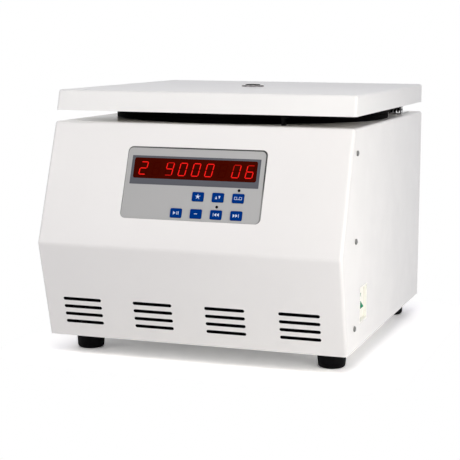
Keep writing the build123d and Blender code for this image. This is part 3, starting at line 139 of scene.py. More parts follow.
class Finish(Nodes):
    """A node material: a Principled shader with a few textures in object coordinates."""

    def __init__(self, name, **shader):
        self.name = name
        self.material = bpy.data.materials.new(name)
        self.material.use_nodes = True
        super().__init__(self.material.node_tree)
        self.shader = self.tree.nodes["Principled BSDF"]
        self.coords = self.node("ShaderNodeTexCoord").outputs["Object"]
        set_sockets(self.shader, shader)

    def noise(self, scale, detail=3.0, stretch=None):
        made = self.node("ShaderNodeTexNoise", Scale=scale, Detail=detail)
        at = self.coords
        if stretch:
            mapping = self.node("ShaderNodeMapping", Scale=stretch)
            self.link(at, mapping.inputs["Vector"])
            at = mapping.outputs["Vector"]
        self.link(at, made.inputs["Vector"])
        return made.outputs["Fac"]

    def colours(self, fac, *stops):
        """Base colour runs between two stops, each (place, colour), as fac rises."""
        ramp = self.node("ShaderNodeValToRGB")
        for element, (place, colour) in zip(ramp.color_ramp.elements, stops):
            element.position = place
            element.color = colour
        self.link(fac, ramp.inputs["Fac"])
        self.link(ramp.outputs["Color"], self.shader.inputs["Base Color"])

    def ranged(self, fac, start, end, low, high, socket):
        """A shader socket runs from low to high as fac goes from start to end."""
        spread = self.node("ShaderNodeMapRange", From_Min=start, From_Max=end,
                           To_Min=low, To_Max=high)
        self.link(fac, spread.inputs["Value"])
        self.link(spread.outputs["Result"], self.shader.inputs[socket])

    def roughness(self, fac, low, high):
        self.ranged(fac, NOISE_LOW, NOISE_HIGH, low, high, "Roughness")

    def bump(self, fac, depth, strength=0.5):
        """Relief of the given depth in metres."""
        made = self.node("ShaderNodeBump", Strength=strength, Distance=depth)
        self.link(fac, made.inputs["Height"])
        self.link(made.outputs["Normal"], self.shader.inputs["Normal"])

    def grain(self, scale, depth):
        """A fine grain of the given depth in metres."""
        self.bump(self.noise(scale, detail=2.0), depth)


def varied(name, rgb, spread, patch, rough, grain, depth, **shader):
    """Moulded, cast, printed or painted surface.

    Its brightness varies by spread, in patches of scale patch, and its roughness within rough, in
    smaller ones. It has a grain of scale grain, depth metres deep. The rest are shader sockets.
    """
    made = Finish(name, **shader)
    colour = srgb(*rgb)
    made.colours(made.noise(patch), (NOISE_LOW, shade(colour, 1 - spread)),
                 (NOISE_HIGH, shade(colour, 1 + spread)))
    made.roughness(made.noise(patch * GLOSS_FINER), *rough)
    made.grain(grain, depth)
    return made


def brushed(name, rgb, along, rough=(0.25, 0.4), depth=1e-5):
    """Metal with fine lines along one axis, which is 0, 1 or 2."""
    made = Finish(name, Metallic=1.0)
    colour = srgb(*rgb)
    stretch = [1.0 if axis == along else BRUSH_STRETCH for axis in range(3)]
    lines = made.noise(BRUSH_SCALE, detail=4.0, stretch=stretch)
    made.colours(lines, (0.25, shade(colour, 0.86)), (0.75, shade(colour, 1.1)))
    made.roughness(lines, *rough)
    made.bump(lines, depth, strength=0.3)
    return made


# The upward part of the normal where a bend starts to count as a top, and where it is one.
BEND_UP, TOP_UP = 0.85, 0.98


def duller_on_top(made, side_level, top_level):
    """Less mirror-like on faces that look up, full gloss on walls and bends."""
    split = made.node("ShaderNodeSeparateXYZ")
    made.link(made.node("ShaderNodeTexCoord").outputs["Normal"], split.inputs["Vector"])
    made.ranged(split.outputs["Z"], BEND_UP, TOP_UP, side_level, top_level, "Specular IOR Level")
    return made


finishes = {made.name: made for made in (
    duller_on_top(varied("white_paint", (240, 237, 232), 0.006, 7, (0.16, 0.24), 700, 1.5e-5),
                  0.42, 0.06),
    duller_on_top(varied("white_paint_lid", (242, 240, 235), 0.005, 7, (0.31, 0.35), 600, 8e-6),
                  0.5, 0.08),
    brushed("zinc_steel", (176, 178, 182), 0, (0.3, 0.45)),
    brushed("stainless_steel", (190, 192, 194), 2),
    varied("dark_spring_steel", (5, 5, 6), 0.2, 300, (0.3, 0.45), 2500, 1e-5,
           Specular_IOR_Level=0.06),
    varied("chrome_ring", (122, 119, 120), 0.03, 60, (0.08, 0.14), 1500, 2e-6, Metallic=1.0),
    varied("cast_aluminium", (178, 180, 182), 0.08, 120, (0.45, 0.6), 700, 6e-5, Metallic=1.0),
    brushed("anodised_aluminium", (206, 208, 212), 0, (0.28, 0.38)),
    varied("black_rubber", (7, 7, 8), 0.25, 60, (0.55, 0.7), 900, 4e-5, Specular_IOR_Level=0.06),
    varied("grey_plastic", (180, 179, 176), 0.012, 20, (0.42, 0.52), 1600, 1.2e-5,
           Specular_IOR_Level=0.2),
    varied("cream_plastic", (250, 248, 238), 0.006, 30, (0.4, 0.5), 1500, 1.5e-5,
           Specular_IOR_Level=0.3),
    varied("green_plastic", (0, 136, 92), 0.05, 200, (0.2, 0.3), 1500, 5e-6,
           Specular_IOR_Level=0.02),
    varied("blue_plastic", (0, 51, 127), 0.06, 300, (0.4, 0.5), 1800, 1e-5,
           Specular_IOR_Level=0.0),
    varied("black_plastic", (16, 16, 17), 0.2, 60, (0.45, 0.6), 1300, 2e-5,
           Specular_IOR_Level=0.2),
    varied("red_window", (67, 10, 2), 0.08, 45, (0.06, 0.1), 500, 2e-6, Specular_IOR_Level=0.0),
    varied("display_black", (24, 8, 8), 0.1, 60, (0.3, 0.4), 1500, 1e-5),
    varied("lamp_red", (8, 3, 3), 0.2, 400, (0.2, 0.3), 2500, 4e-6, Specular_IOR_Level=0.1),
    varied("board_green", (28, 112, 66), 0.12, 70, (0.3, 0.42), 900, 2e-5),
    varied("nickel_brass", (206, 202, 190), 0.04, 200, (0.2, 0.3), 2000, 4e-6, Metallic=1.0),
    varied("clear_glass", (226, 240, 240), 0.01, 60, (0.02, 0.05), 300, 2e-6,
           Transmission_Weight=1.0, IOR=1.5),
    varied("funnel_plastic", (236, 238, 240), 0.02, 90, (0.2, 0.3), 1500, 5e-6,
           Transmission_Weight=0.45),
    varied("cap_plastic", (206, 212, 220), 0.02, 90, (0.25, 0.35), 1500, 5e-6),
    varied("filter_paper", (245, 245, 240), 0.02, 400, (0.85, 0.95), 2500, 8e-5),
)}

# Nodes whose own finish departs from their slot's.
matt_rubber = varied("matt_rubber", (5, 5, 6), 0.25, 60, (0.7, 0.85), 900, 4e-5,
                     Specular_IOR_Level=0.02)
SPECIAL = {
    "lid_collar": matt_rubber,
    "chamber_gasket": matt_rubber,
    # The lid's striker is near-black.
    "lid_striker": varied("near_black_steel", (7, 7, 8), 0.15, 200, (0.2, 0.3), 1500, 1e-5,
                          Specular_IOR_Level=0.06),
    "lift_spring_brackets": varied("bracket_steel", (158, 157, 158), 0.04, 200, (0.1, 0.18), 1500,
                                   3e-6, Metallic=0.9),
}
for name, node in nodes.items():
    for place in node.material_slots:
        finish = SPECIAL.get(name) or finishes[place.material.name.split(".")[0]]
        place.material = finish.material

# ---- helpers for new pieces ----

# A smooth piece keeps a crease where its faces meet at more than this.
CREASE = math.radians(35)


def linked(name, data):
    """An object of the data, in the scene."""
    made = bpy.data.objects.new(name, data)
    bpy.context.scene.collection.objects.link(made)
    return made


def mesh_data(name, mesh):
    """Mesh data from a bmesh, which is freed."""
    data = bpy.data.meshes.new(name)
    mesh.to_mesh(data)
    mesh.free()
    return data


def piece(name, mesh, body, slot, finish=None, smooth=True):
    """Makes an object of a bmesh, with its finish, on its body."""
    bmesh.ops.recalc_face_normals(mesh, faces=mesh.faces)
    data = mesh_data(name, mesh)
    data.materials.append((finish or finishes[slot]).material)
    made = linked(name, data)
    if smooth:
        for polygon in data.polygons:
            polygon.use_smooth = True
        data.set_sharp_from_angle(angle=CREASE)
    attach(made, body)
    return made


def bridge(mesh, rings, close=False):
    """Adds faces from each ring of vertices to the next; a ring of one vertex is a pole."""
    for a, b in zip(rings, rings[1:] + (rings[:1] if close else [])):
        for i in range(max(len(a), len(b))):
            j = i + 1
            corners = (a[i % len(a)], a[j % len(a)], b[j % len(b)], b[i % len(b)])
            mesh.faces.new(list(dict.fromkeys(corners)))


def capped(mesh, rings):
    """Bridges the rings, and closes each end that isn't a pole."""
    bridge(mesh, rings)
    for end in (rings[0][::-1], rings[-1]):
        if len(end) > 1:
            mesh.faces.new(end)


def plate(mesh, outline, low, high, place=on_face):
    """Adds a flat plate with the given outline, from low to high out of the face."""
    capped(mesh, [[mesh.verts.new(place(x, s, out)) for x, s in outline] for out in (low, high)])


def printed(mesh, outline, face):
    """Adds a thin print on a surface that lies at face, out of the upper front face."""
    plate(mesh, outline, face - PRINT_IN, face + PRINT_OUT)


def ring_plate(mesh, outer, inner, low, high, inner_high=None):
    """Adds a frame between two outlines of as many points, its inner edge up to inner_high."""
    inner_high = high if inner_high is None else inner_high
    bridge(mesh, [[mesh.verts.new(on_face(x, s, out)) for x, s in outline] for outline, out in (
        (outer, low), (outer, high), (inner, inner_high), (inner, low))], close=True)


def turned(mesh, profile, place, sides=24, close=False):
    """Adds a turned piece from (radius, height) pairs in millimetres, its axis set by place.

    Its ends are capped or on the axis, or with close the profile runs back to its start.
    """
    rings = [[mesh.verts.new(place @ (Vector((*point, z)) * MM))
              for point in circle(0, 0, r, sides if r else 1)] for r, z in profile]
    if close:
        bridge(mesh, rings, close=True)
    else:
        capped(mesh, rings)


def facing(at, out):
    """Puts a piece's origin at a point in millimetres and its Z axis along out."""
    turn = Vector(out).to_track_quat("Z", "Y").to_matrix().to_4x4()
    return Matrix.Translation(Vector(at) * MM) @ turn


# ---- outlines, as points (x, s) in millimetres ----


def rounded(x0, s0, x1, s1, radius, steps=5):
    """A rectangle with rounded corners."""
    points = []
    for cx, cs, start in ((x1 - radius, s1 - radius, 0), (x0 + radius, s1 - radius, 90),
                          (x0 + radius, s0 + radius, 180), (x1 - radius, s0 + radius, 270)):
        for i in range(steps + 1):
            a = math.radians(start + 90 * i / steps)
            points.append((cx + radius * math.cos(a), cs + radius * math.sin(a)))
    return points


def box_outline(x, s, width, height):
    """A rectangle about its middle."""
    return [(x - width / 2, s - height / 2), (x + width / 2, s - height / 2),
            (x + width / 2, s + height / 2), (x - width / 2, s + height / 2)]


def circle(x, s, radius, steps=24):
    """A circle about its middle."""
    turns = [math.tau * i / steps for i in range(steps)]
    return [(x + radius * math.cos(a), s + radius * math.sin(a)) for a in turns]


def star(radius, waist=0.3):
    """A five-pointed star about 0, 0, its notches at waist times its radius."""
    points = []
    for i in range(10):
        a = math.radians(90 + 36 * i)
        reach = radius if i % 2 == 0 else waist * radius
        points.append((reach * math.cos(a), reach * math.sin(a)))
    return points


def triangle(x, width, height, way=1):
    """A triangle pointing along x for way 1 and against it for way -1."""
    back, tip = x - way * width / 2, x + way * width / 2
    return [(back, -height / 2), (tip, 0), (back, height / 2)]


def peak(x, width, height, way):
    """A triangle pointing up for way 1 and down for way -1."""
    foot, tip = -way * height / 2, way * height / 2
    return [(x - width / 2, foot), (x + width / 2, foot), (x, tip)]


def square_ring(x, size, line):
    """The four bars of a square outline."""
    half, rest = (size - line) / 2, size - 2 * line
    return [box_outline(x, half, size, line), box_outline(x, -half, size, line),
            box_outline(x - half, 0, line, rest), box_outline(x + half, 0, line, rest)]


# ---- display: slate frame, lit and unlit segments ----

# The window and the frame round it, as x0, s0, x1, s1, with their corner radii.
WINDOW, WINDOW_RADIUS = (-71.0, 80.0, 72.0, 103.4), 2.4
SLATE_FRAME, SLATE_RADIUS, SLATE_OUT = (-74.0, 73.2, 75.4, 105.8), 0.6, 0.08
DIGIT_FIRST_X, DIGIT_PITCH, DIGIT_S = -59.5, 15.42, 91.5
DIGIT_WIDTH, DIGIT_HEIGHT, STROKE, SEGMENT_GAP = 8.9, 15.2, 1.1, 0.25
SLANT = math.tan(math.radians(9))
READING = "2 9000 06"
SEGMENTS = {"2": "abged", "9": "abcdfg", "0": "abcdef", "6": "acdefg", " ": ""}
# Segments that glow weakly in the photograph, by the place of their digit.
DIM = {2: "ad", 7: "af", 8: "a"}
GLOW_RED = (1.0, 0.013, 0.012, 1)
# The unlit segments' faint glow is painted light.
GLOW = {"lit": 0.98, "dim": 0.46, "unlit": 0.003}

slate = varied("slate_print", (88, 89, 95), 0.015, 30, (0.4, 0.5), 1600, 8e-6,
               Specular_IOR_Level=0.15)
display_frame = bmesh.new()
ring_plate(display_frame, rounded(*SLATE_FRAME, SLATE_RADIUS), rounded(*WINDOW, WINDOW_RADIUS),
           PANEL_FACE - PRINT_IN, PANEL_FACE + SLATE_OUT)
piece("display_frame", display_frame, "casing", "grey_plastic", slate)


def segment(x, s, letter):
    """Outline of one segment of the digit whose middle is at x, s."""
    half_w, half_h, t = (DIGIT_WIDTH - STROKE) / 2, (DIGIT_HEIGHT - STROKE) / 2, STROKE / 2
    if letter in "agd":
        y = {"a": half_h, "g": 0, "d": -half_h}[letter]
        end = half_w - SEGMENT_GAP
        points = [(-end, y), (-end + t, y - t), (end - t, y - t),
                  (end, y), (end - t, y + t), (-end + t, y + t)]
    else:
        px = half_w if letter in "bc" else -half_w
        low, high = SEGMENT_GAP, half_h - SEGMENT_GAP
        if letter in "ce":
            low, high = -high, -low
        points = [(px, low), (px + t, low + t), (px + t, high - t),
                  (px, high), (px - t, high - t), (px - t, low + t)]
    return [(x + u + v * SLANT, s + v) for u, v in points]


segments = {state: bmesh.new() for state in GLOW}
for i, digit in enumerate(READING):
    for letter in "abcdefg":
        state = "unlit"
        if letter in SEGMENTS[digit]:
            state = "dim" if letter in DIM.get(i, "") else "lit"
        outline = segment(DIGIT_FIRST_X + i * DIGIT_PITCH, DIGIT_S, letter)
        printed(segments[state], outline, PANEL_FACE)
for state, mesh in segments.items():
    glow = varied("segment_" + state, (62, 4, 0), 0.05, 300, (0.06, 0.1), 500, 2e-6,
                  Specular_IOR_Level=0.0, Emission_Color=GLOW_RED, Emission_Strength=GLOW[state])
    piece("digit_segments_" + state, mesh, "casing", "red_window", glow, smooth=False)

# ---- panel bead: a slope round the recessed panel, widest at the right and top, with painted shade darkest there ----

PANEL, PANEL_RADIUS, BEAD_INNER_RADIUS = (-79.8, 34.0, 82.2, 116.0), 6.0, 5.0
# The slope's width on each side.
BEAD_LEFT, BEAD_BOTTOM, BEAD_RIGHT, BEAD_TOP = 0.5, 0.5, 2.0, 1.4
# Where its outer edge lies, out of the face, and its inner edge, out of the panel.
BEAD_RIM, BEAD_FOOT = -0.05, 0.05
# Painted shade: the bead darkens along this direction from the panel's middle, between these two
# colours.
BEAD_SHADE_LEAN = (1.8, -3.0, 8.0)
BEAD_LIT_PAINT, BEAD_PAINTED_SHADE = (0.02, srgb(146, 146, 142)), (0.2, srgb(76, 76, 73))
panel_middle = on_face((PANEL[0] + PANEL[2]) / 2, (PANEL[1] + PANEL[3]) / 2)
# The bead's finish paints the recess's shade, pale at the left and bottom and dark at the right and
# top.
bead = Finish("panel_bead", Roughness=0.55, Specular_IOR_Level=0.1)
from_middle = bead.vector("ADD", bead.coords, -panel_middle)
bead.colours(bead.vector("DOT_PRODUCT", from_middle, BEAD_SHADE_LEAN, "Value"), BEAD_LIT_PAINT, BEAD_PAINTED_SHADE)
bead.grain(1500.0, 1e-5)
inner_panel = (PANEL[0] + BEAD_LEFT, PANEL[1] + BEAD_BOTTOM,
               PANEL[2] - BEAD_RIGHT, PANEL[3] - BEAD_TOP)
panel_bead = bmesh.new()
ring_plate(panel_bead, rounded(*PANEL, PANEL_RADIUS), rounded(*inner_panel, BEAD_INNER_RADIUS),
           PANEL_FACE, BEAD_RIM, inner_high=PANEL_FACE + BEAD_FOOT)
piece("panel_bead", panel_bead, "casing", "grey_plastic", bead)

# ---- key symbols, each drawn about its key's middle ----

# The middles of the keys' columns and rows.
COLUMNS = (-14.8, 8.2, 31.2, 54.2)
UPPER_ROW, LOWER_ROW = 61.6, 42.4
THIN_LINE = 0.42


def skip(way):
    """Two triangles and a bar."""
    return [triangle(-2.4 * way, 2.4, 4.0, way), triangle(0.6 * way, 2.4, 4.0, way),
            box_outline(2.9 * way, 0, 0.55, 3.8)]


KEYS = {
    "key_star": (COLUMNS[1], UPPER_ROW, [star(3.5)]),
    "key_up_down": (COLUMNS[2], UPPER_ROW, [peak(-1.8, 2.3, 3.6, 1), peak(1.8, 2.3, 3.6, -1)]),
    "key_mode": (COLUMNS[3], UPPER_ROW, [
        *square_ring(-2.7, 3.2, THIN_LINE), box_outline(0, -1.3, 2.2, THIN_LINE),
        *square_ring(2.7, 3.2, THIN_LINE)]),
    "key_start_pause": (COLUMNS[0], LOWER_ROW, [
        triangle(-1.7, 2.9, 4.2), box_outline(1.3, 0, 0.7, 3.6), box_outline(2.9, 0, 0.7, 3.6)]),
    "key_stop": (COLUMNS[1], LOWER_ROW, [box_outline(0, 0, 3.4, 0.7)]),
    "key_back": (COLUMNS[2], LOWER_ROW, skip(-1)),
    "key_forward": (COLUMNS[3], LOWER_ROW, skip(1)),
}
white_print = varied("white_print", (206, 214, 230), 0.02, 400, (0.5, 0.6), 1500, 5e-6,
                     Specular_IOR_Level=0.2)
for name, (x, s, outlines) in KEYS.items():
    mesh = bmesh.new()
    for outline in outlines:
        printed(mesh, [(x + u, s + v) for u, v in outline], KEY_FACE)
    piece("symbol_" + name.removeprefix("key_"), mesh, name, "blue_plastic", white_print,
          smooth=False)

# ---- lamp bezels: a black ring round each indicator lamp ----

INDICATORS = ((COLUMNS[3], 70.3), (COLUMNS[2], 51.1))
BEZEL_OUTER, BEZEL_INNER, BEZEL_OUT = 1.6, 1.2, 0.35
bezels = bmesh.new()
for x, s in INDICATORS:
    ring_plate(bezels, circle(x, s, BEZEL_OUTER), circle(x, s, BEZEL_INNER),
               PANEL_FACE - PRINT_IN, PANEL_FACE + BEZEL_OUT)
piece("led_bezels", bezels, "casing", "black_plastic")

# ---- louvres of the lower front face ----

# One black filter sheet behind all of them, which also paints the shade inside the case seen
# through the slots: its middle, its width and height, and its depths.
FILTER_SHADE, FILTER_SHADE_BACK, FILTER_SHADE_FRONT = (-2.0, 32.75, 310.0, 37.5), -1.74, -1.54
filter_and_slot_shade_black = varied("filter_and_slot_shade", (4, 4, 5), 0.3, 900, (0.8, 0.95), 2500, 6e-5,
                      Specular_IOR_Level=0.0)
filter_shade_sheet = bmesh.new()
plate(filter_shade_sheet, box_outline(*FILTER_SHADE), FILTER_SHADE_BACK, FILTER_SHADE_FRONT, on_lower)
piece("louvre_filter_shade", filter_shade_sheet, "casing", "black_plastic", filter_and_slot_shade_black, smooth=False)

# Painted shade: a thin black plate on the wall over each louvre, 0.3 mm past the slot on every
# side, so the slot's edges read dark.
LOUVRES_X, LOUVRES_S = (-128.75, -44.25, 40.25, 124.75), (18.65, 28.05, 37.45, 46.85)
SLOT_SHADE_WIDTH, SLOT_SHADE_HEIGHT, SLOT_SHADE_BACK, SLOT_SHADE_FRONT = 46.1, 3.88, 0.005, 0.045
SLOT_SHADE_RADIUS = SLOT_SHADE_HEIGHT / 2 - 0.01
slot_shades = bmesh.new()
for x in LOUVRES_X:
    for s in LOUVRES_S:
        outline = rounded(x - SLOT_SHADE_WIDTH / 2, s - SLOT_SHADE_HEIGHT / 2,
                          x + SLOT_SHADE_WIDTH / 2, s + SLOT_SHADE_HEIGHT / 2, SLOT_SHADE_RADIUS)
        plate(slot_shades, outline, SLOT_SHADE_BACK, SLOT_SHADE_FRONT, on_lower)
piece("louvre_slot_shades", slot_shades, "casing", "black_plastic", filter_and_slot_shade_black, smooth=False)

# ---- lift springs: open coils of round wire on the brackets' pins ----

# The pins' middles, which are as far left as right, in millimetres.
LIFT_X, LIFT_Y, LIFT_Z = 155.5, 138.0, 271.4
WIRE_RADIUS, WIRE_SIDES = 1.2, 10
COIL_RADIUS, COIL_TURNS, COIL_HALF, COIL_STEPS = 2.9, 2.5, 5.1, 48
LEG_LENGTH, LEG_RISE, LEG_STEPS = 23.5, 1.6, (0.25, 0.5, 0.75, 1)
# How far from its middle a pin ends, and the dome there, as (radius, height).
PIN_END_OUT, PIN_DOME = 8.0, ((1.2, 0.0), (1.2, 0.3), (1.0, 0.6), (0.55, 0.8))


def tube(mesh, path, radius, sides):
    """Adds a round wire along a path of points, closed at both ends."""
    rings = []
    side = Vector((1, 0, 0))
    for i, point in enumerate(path):
        ahead = (path[min(i + 1, len(path) - 1)] - path[max(i - 1, 0)]).normalized()
        side = (side - ahead * side.dot(ahead)).normalized()
        across = ahead.cross(side)
        rings.append([mesh.verts.new(point + radius * (math.cos(a) * side + math.sin(a) * across))
                      for a in (math.tau * k / sides for k in range(sides))])
    capped(mesh, rings)


def lift_spring(mesh, x):
    """The coil winds from a leg that lies on the bracket's base to one under the lid."""
    path = [Vector((x - COIL_HALF, LIFT_Y + LEG_LENGTH * t, LIFT_Z - COIL_RADIUS))
            for t in reversed(LEG_STEPS)]
    for i in range(COIL_STEPS + 1):
        a = -math.tau * COIL_TURNS * i / COIL_STEPS
        path.append(Vector((x - COIL_HALF + 2 * COIL_HALF * i / COIL_STEPS,
                            LIFT_Y + COIL_RADIUS * math.sin(a),
                            LIFT_Z - COIL_RADIUS * math.cos(a))))
    path += [Vector((x + COIL_HALF, LIFT_Y + LEG_LENGTH * t, LIFT_Z + COIL_RADIUS + LEG_RISE * t))
             for t in LEG_STEPS]
    tube(mesh, [point * MM for point in path], WIRE_RADIUS * MM, WIRE_SIDES)


springs, pin_ends = bmesh.new(), bmesh.new()
for x in (-LIFT_X, LIFT_X):
    lift_spring(springs, x)
    for side in (-1, 1):
        turned(pin_ends, PIN_DOME, facing((x + side * PIN_END_OUT, LIFT_Y, LIFT_Z), (side, 0, 0)))
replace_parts(piece("lift_spring_coils", springs, "casing", "dark_spring_steel"), "lift_springs")
piece("lift_pin_ends", pin_ends, "casing", "dark_spring_steel")

# ---- sight port: a low chrome ring round a domed dark lens, both as (radius, height) ----

PORT_Y = 30.0
RING_PROFILE = ((9.4, 275.2), (10.0, 275.2), (10.0, 301.4), (13.8, 301.4), (13.8, 302.6),
                (13.6, 303.0), (13.1, 303.3), (12.4, 303.4), (9.9, 303.4), (9.4, 303.1))
LENS_PROFILE = ((0.0, 300.4), (9.2, 300.4), (9.2, 303.3), (9.05, 303.75), (8.6, 304.15),
                (7.6, 304.45), (5.0, 304.7), (0.0, 304.8))


def lathed(profile, close, sides=56):
    """A piece turned about the port's axis."""
    mesh = bmesh.new()
    turned(mesh, profile, Matrix.Translation((0, PORT_Y * MM, 0)), sides, close)
    return mesh


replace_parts(piece("sight_port_ring", lathed(RING_PROFILE, True), "lid", "chrome_ring"),
            "sight_ring")
smoked = varied("smoked_lens", (7, 6, 6), 0.05, 100, (0.08, 0.14), 600, 2e-6,
                Specular_IOR_Level=0.04)
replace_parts(piece("sight_port_lens", lathed(LENS_PROFILE, False), "lid", "clear_glass", smoked),
            "sight_glass")

# ---- screws: domed heads with a cross recess ----

HEAD_SIDES = 28
# Up the dome, as (radius, height).
HEAD_PROFILE = ((3.15, 0), (3.15, 0.9), (3.03, 1.2), (2.65, 1.55), (2.05, 1.8), (1.25, 1.94),
                (0.6, 2.0))
# Length, width and height of the recess's floor, and of the cutter's top above the head.
RECESS = ((1.85, 0.588, 0.75), (3.7, 0.84, 2.2))
# The side and rear faces that the heads sit on, and the heads' places on them, in millimetres.
SIDE_SEAT_X, REAR_SEAT_Y = 175.0, 207.4
SIDE_SCREWS = [(-149.0, z) for z in (48.0, 144.0, 239.5)]
REAR_SCREWS = [(x, z) for x in (-166.5, 166.5) for z in (59.5, 144.5, 229.5)]
FAN_SCREWS = [(x, z) for x in (76.0, 148.0) for z in (86.0, 158.0)]
# Each cross is left at another angle, in radians.
FIRST_TURN, NEXT_TURN = 0.35, 1.1


def blank_and_cutter():
    """A head on the XY plane, pointing along Z, and the tapered cross that cuts its recess."""
    blank, cross = bmesh.new(), bmesh.new()
    turned(blank, HEAD_PROFILE, Matrix.Identity(4), HEAD_SIDES)
    for quarter in (0, 90):
        turn = Matrix.Rotation(math.radians(quarter), 4, "Z")
        capped(cross, [[cross.verts.new(turn @ (Vector((*point, z)) * MM))
                        for point in box_outline(0, 0, length, width)]
                       for length, width, z in RECESS])
    made = []
    for name, mesh in (("screw_head_blank", blank), ("screw_cross_cutter", cross)):
        bmesh.ops.recalc_face_normals(mesh, faces=mesh.faces)
        made.append(linked(name, mesh_data(name, mesh)))
    return made


head, cutter = blank_and_cutter()
cut = head.modifiers.new("cross", "BOOLEAN")
cut.operation, cut.solver, cut.use_self, cut.object = "DIFFERENCE", "EXACT", True, cutter
bpy.context.view_layer.update()
evaluated = head.evaluated_get(bpy.context.evaluated_depsgraph_get())
head_data = bpy.data.meshes.new_from_object(evaluated)
for made in (head, cutter):
    bpy.data.objects.remove(made)

seats = [((side * SIDE_SEAT_X, y, z), (side, 0, 0)) for side in (-1, 1) for y, z in SIDE_SCREWS]
seats += [((x, REAR_SEAT_Y, z), (0, 1, 0)) for x, z in REAR_SCREWS + FAN_SCREWS]
heads = bmesh.new()
for i, (seat, out) in enumerate(seats):
    place = facing(seat, out) @ Matrix.Rotation(FIRST_TURN + NEXT_TURN * i, 4, "Z")
    before = len(heads.verts)
    heads.from_mesh(head_data)
    heads.verts.ensure_lookup_table()
    bmesh.ops.transform(heads, matrix=place, verts=heads.verts[before:])
screw_steel = varied("screw_steel", (118, 118, 116), 0.12, 300, (0.3, 0.45), 1500, 1e-5,
                     Metallic=0.9)
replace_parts(piece("case_screw_heads", heads, "casing", "zinc_steel", screw_steel), "case_screws")

# ---- camera, at the photo's viewpoint ----

CAMERA_AT = (0.5098, -1.5588, 0.3643)
YAW, PITCH, ROLL = math.radians(18.72), math.radians(8.21), math.radians(0.294)
FOCAL_LENGTH, SENSOR_WIDTH = 106.07, 36.0
forward = Vector((-math.sin(YAW) * math.cos(PITCH), math.cos(YAW) * math.cos(PITCH),
                  -math.sin(PITCH)))
level = Vector((math.cos(YAW), math.sin(YAW), 0))
upright = level.cross(forward)
right = math.cos(ROLL) * level + math.sin(ROLL) * upright
up = -math.sin(ROLL) * level + math.cos(ROLL) * upright
camera = linked("camera", bpy.data.cameras.new("camera"))
camera.matrix_world = Matrix.Translation(CAMERA_AT) @ Matrix(
    [(right[i], up[i], -forward[i]) for i in range(3)]).to_4x4()
camera.data.lens = FOCAL_LENGTH
camera.data.sensor_width = SENSOR_WIDTH
bpy.context.scene.camera = camera

# ---- world: a soft light that is bluer from above, and white to the camera ----

SKY_LEVEL, SKY_ABOVE, SKY_STRENGTH = (0.97, 0.97, 0.99, 1), (0.915, 0.945, 1.24, 1), 0.315
world = bpy.data.worlds.new("studio")
bpy.context.scene.world = world
world.use_nodes = True
sky = Nodes(world.node_tree)
sky.tree.nodes.clear()
split = sky.node("ShaderNodeSeparateXYZ")
tint = sky.node("ShaderNodeMix", {"data_type": "RGBA"}, A=SKY_LEVEL, B=SKY_ABOVE)
light = sky.node("ShaderNodeBackground", Strength=SKY_STRENGTH)
white = sky.node("ShaderNodeBackground", Color=(1, 1, 1, 1))
sky.link(sky.node("ShaderNodeTexCoord").outputs["Generated"], split.inputs["Vector"])
sky.link(split.outputs["Z"], tint.inputs["Factor"])
sky.link(tint.outputs["Result"], light.inputs["Color"])
sky.link(sky.joined(light.outputs[0], white.outputs[0], sky.background_rays()),
         sky.node("ShaderNodeOutputWorld").inputs["Surface"])

# ---- floor: pale to light, and to the camera the object's shadow that fades to plain white ----

FLOOR_SIZE, FLOOR_CELLS = 6.0, 8
# The shadow fades from the edge of this footprint, given as its middle and half its size, over
# FADE_REACH metres.
FOOT_MIDDLE, FOOT_HALF, FADE_REACH = (0, 0.02, 0), (0.165, 0.185, 1), 0.075
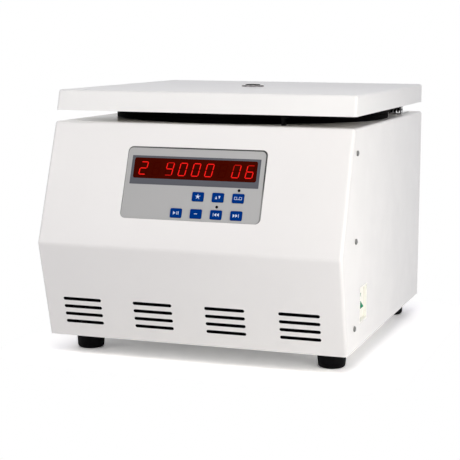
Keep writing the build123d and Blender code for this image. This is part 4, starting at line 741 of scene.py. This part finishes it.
# The seen floor is two diffuse layers and a little light of its own.
SEEN_FIRST, SEEN_SECOND, SEEN_LIFT = (1.0, 0.99, 0.97, 1), (0.86, 0.8256, 0.7568, 1), 0.06
floor_mesh = bmesh.new()
bmesh.ops.create_grid(floor_mesh, x_segments=FLOOR_CELLS, y_segments=FLOOR_CELLS, size=FLOOR_SIZE)
floor = linked("floor", mesh_data("floor", floor_mesh))
finish = varied("floor", (246, 246, 246), 0.003, 3, (0.85, 0.95), 400, 1e-5, Specular_IOR_Level=0.1)
outside = finish.coords
for operation, value in (("SUBTRACT", FOOT_MIDDLE), ("ABSOLUTE", None), ("SUBTRACT", FOOT_HALF),
                         ("MAXIMUM", (0, 0, 0))):
    outside = finish.vector(operation, outside, value)
fade = finish.node("ShaderNodeMapRange", From_Min=0.0, From_Max=FADE_REACH)
finish.link(finish.vector("LENGTH", outside, output="Value"), fade.inputs["Value"])
first, second = [finish.node("ShaderNodeBsdfDiffuse", Color=colour).outputs[0]
                 for colour in (SEEN_FIRST, SEEN_SECOND)]
lift, plain = [finish.node("ShaderNodeEmission", Strength=strength).outputs[0]
               for strength in (SEEN_LIFT, 1.0)]
shadow = finish.joined(finish.joined(first, second), lift)
seen = finish.joined(shadow, plain, fade.outputs["Result"])
finish.link(finish.joined(finish.shader.outputs[0], seen, finish.background_rays()),
            finish.tree.nodes["Material Output"].inputs["Surface"])
floor.data.materials.append(finish.material)

# ---- lamps, all towards the object's middle; the last lights the rear and isn't mirrored ----

LAMP_TARGET = Vector((0, 0, 0.15))
WARM, NEUTRAL = (1.0, 0.987, 0.96), (1, 1, 1)
# Name, place, size in metres, watts and colour.
LAMPS = (
    ("key_lamp", (0.266, -0.731, 0.928), 0.5, 3.36, WARM),
    ("side_lamp", (0.647, -0.374, 0.215), 0.3, 1.36, WARM),
    ("edge_lamp", (0.717, -0.192, 0.254), 0.3, 0.31, WARM),
    ("fill_lamp", (-1.186, -1.694, 0.902), 0.9, 4.7, WARM),
    ("top_lamp", (-0.843, -1.46, 1.564), 0.9, 4.1, WARM),
    ("rear_lamp", (-1.3, 2.0, 0.6), 1.2, 13, NEUTRAL),
)
for name, at, size, watts, colour in LAMPS:
    data = bpy.data.lights.new(name, "AREA")
    data.energy, data.size, data.color = watts, size, colour
    lamp = linked(name, data)
    lamp.location = at
    lamp.rotation_euler = (LAMP_TARGET - Vector(at)).to_track_quat("-Z", "Y").to_euler()
    lamp.visible_camera = False
    lamp.visible_glossy = name != "rear_lamp"

bpy.context.scene.view_settings.view_transform = "Standard"
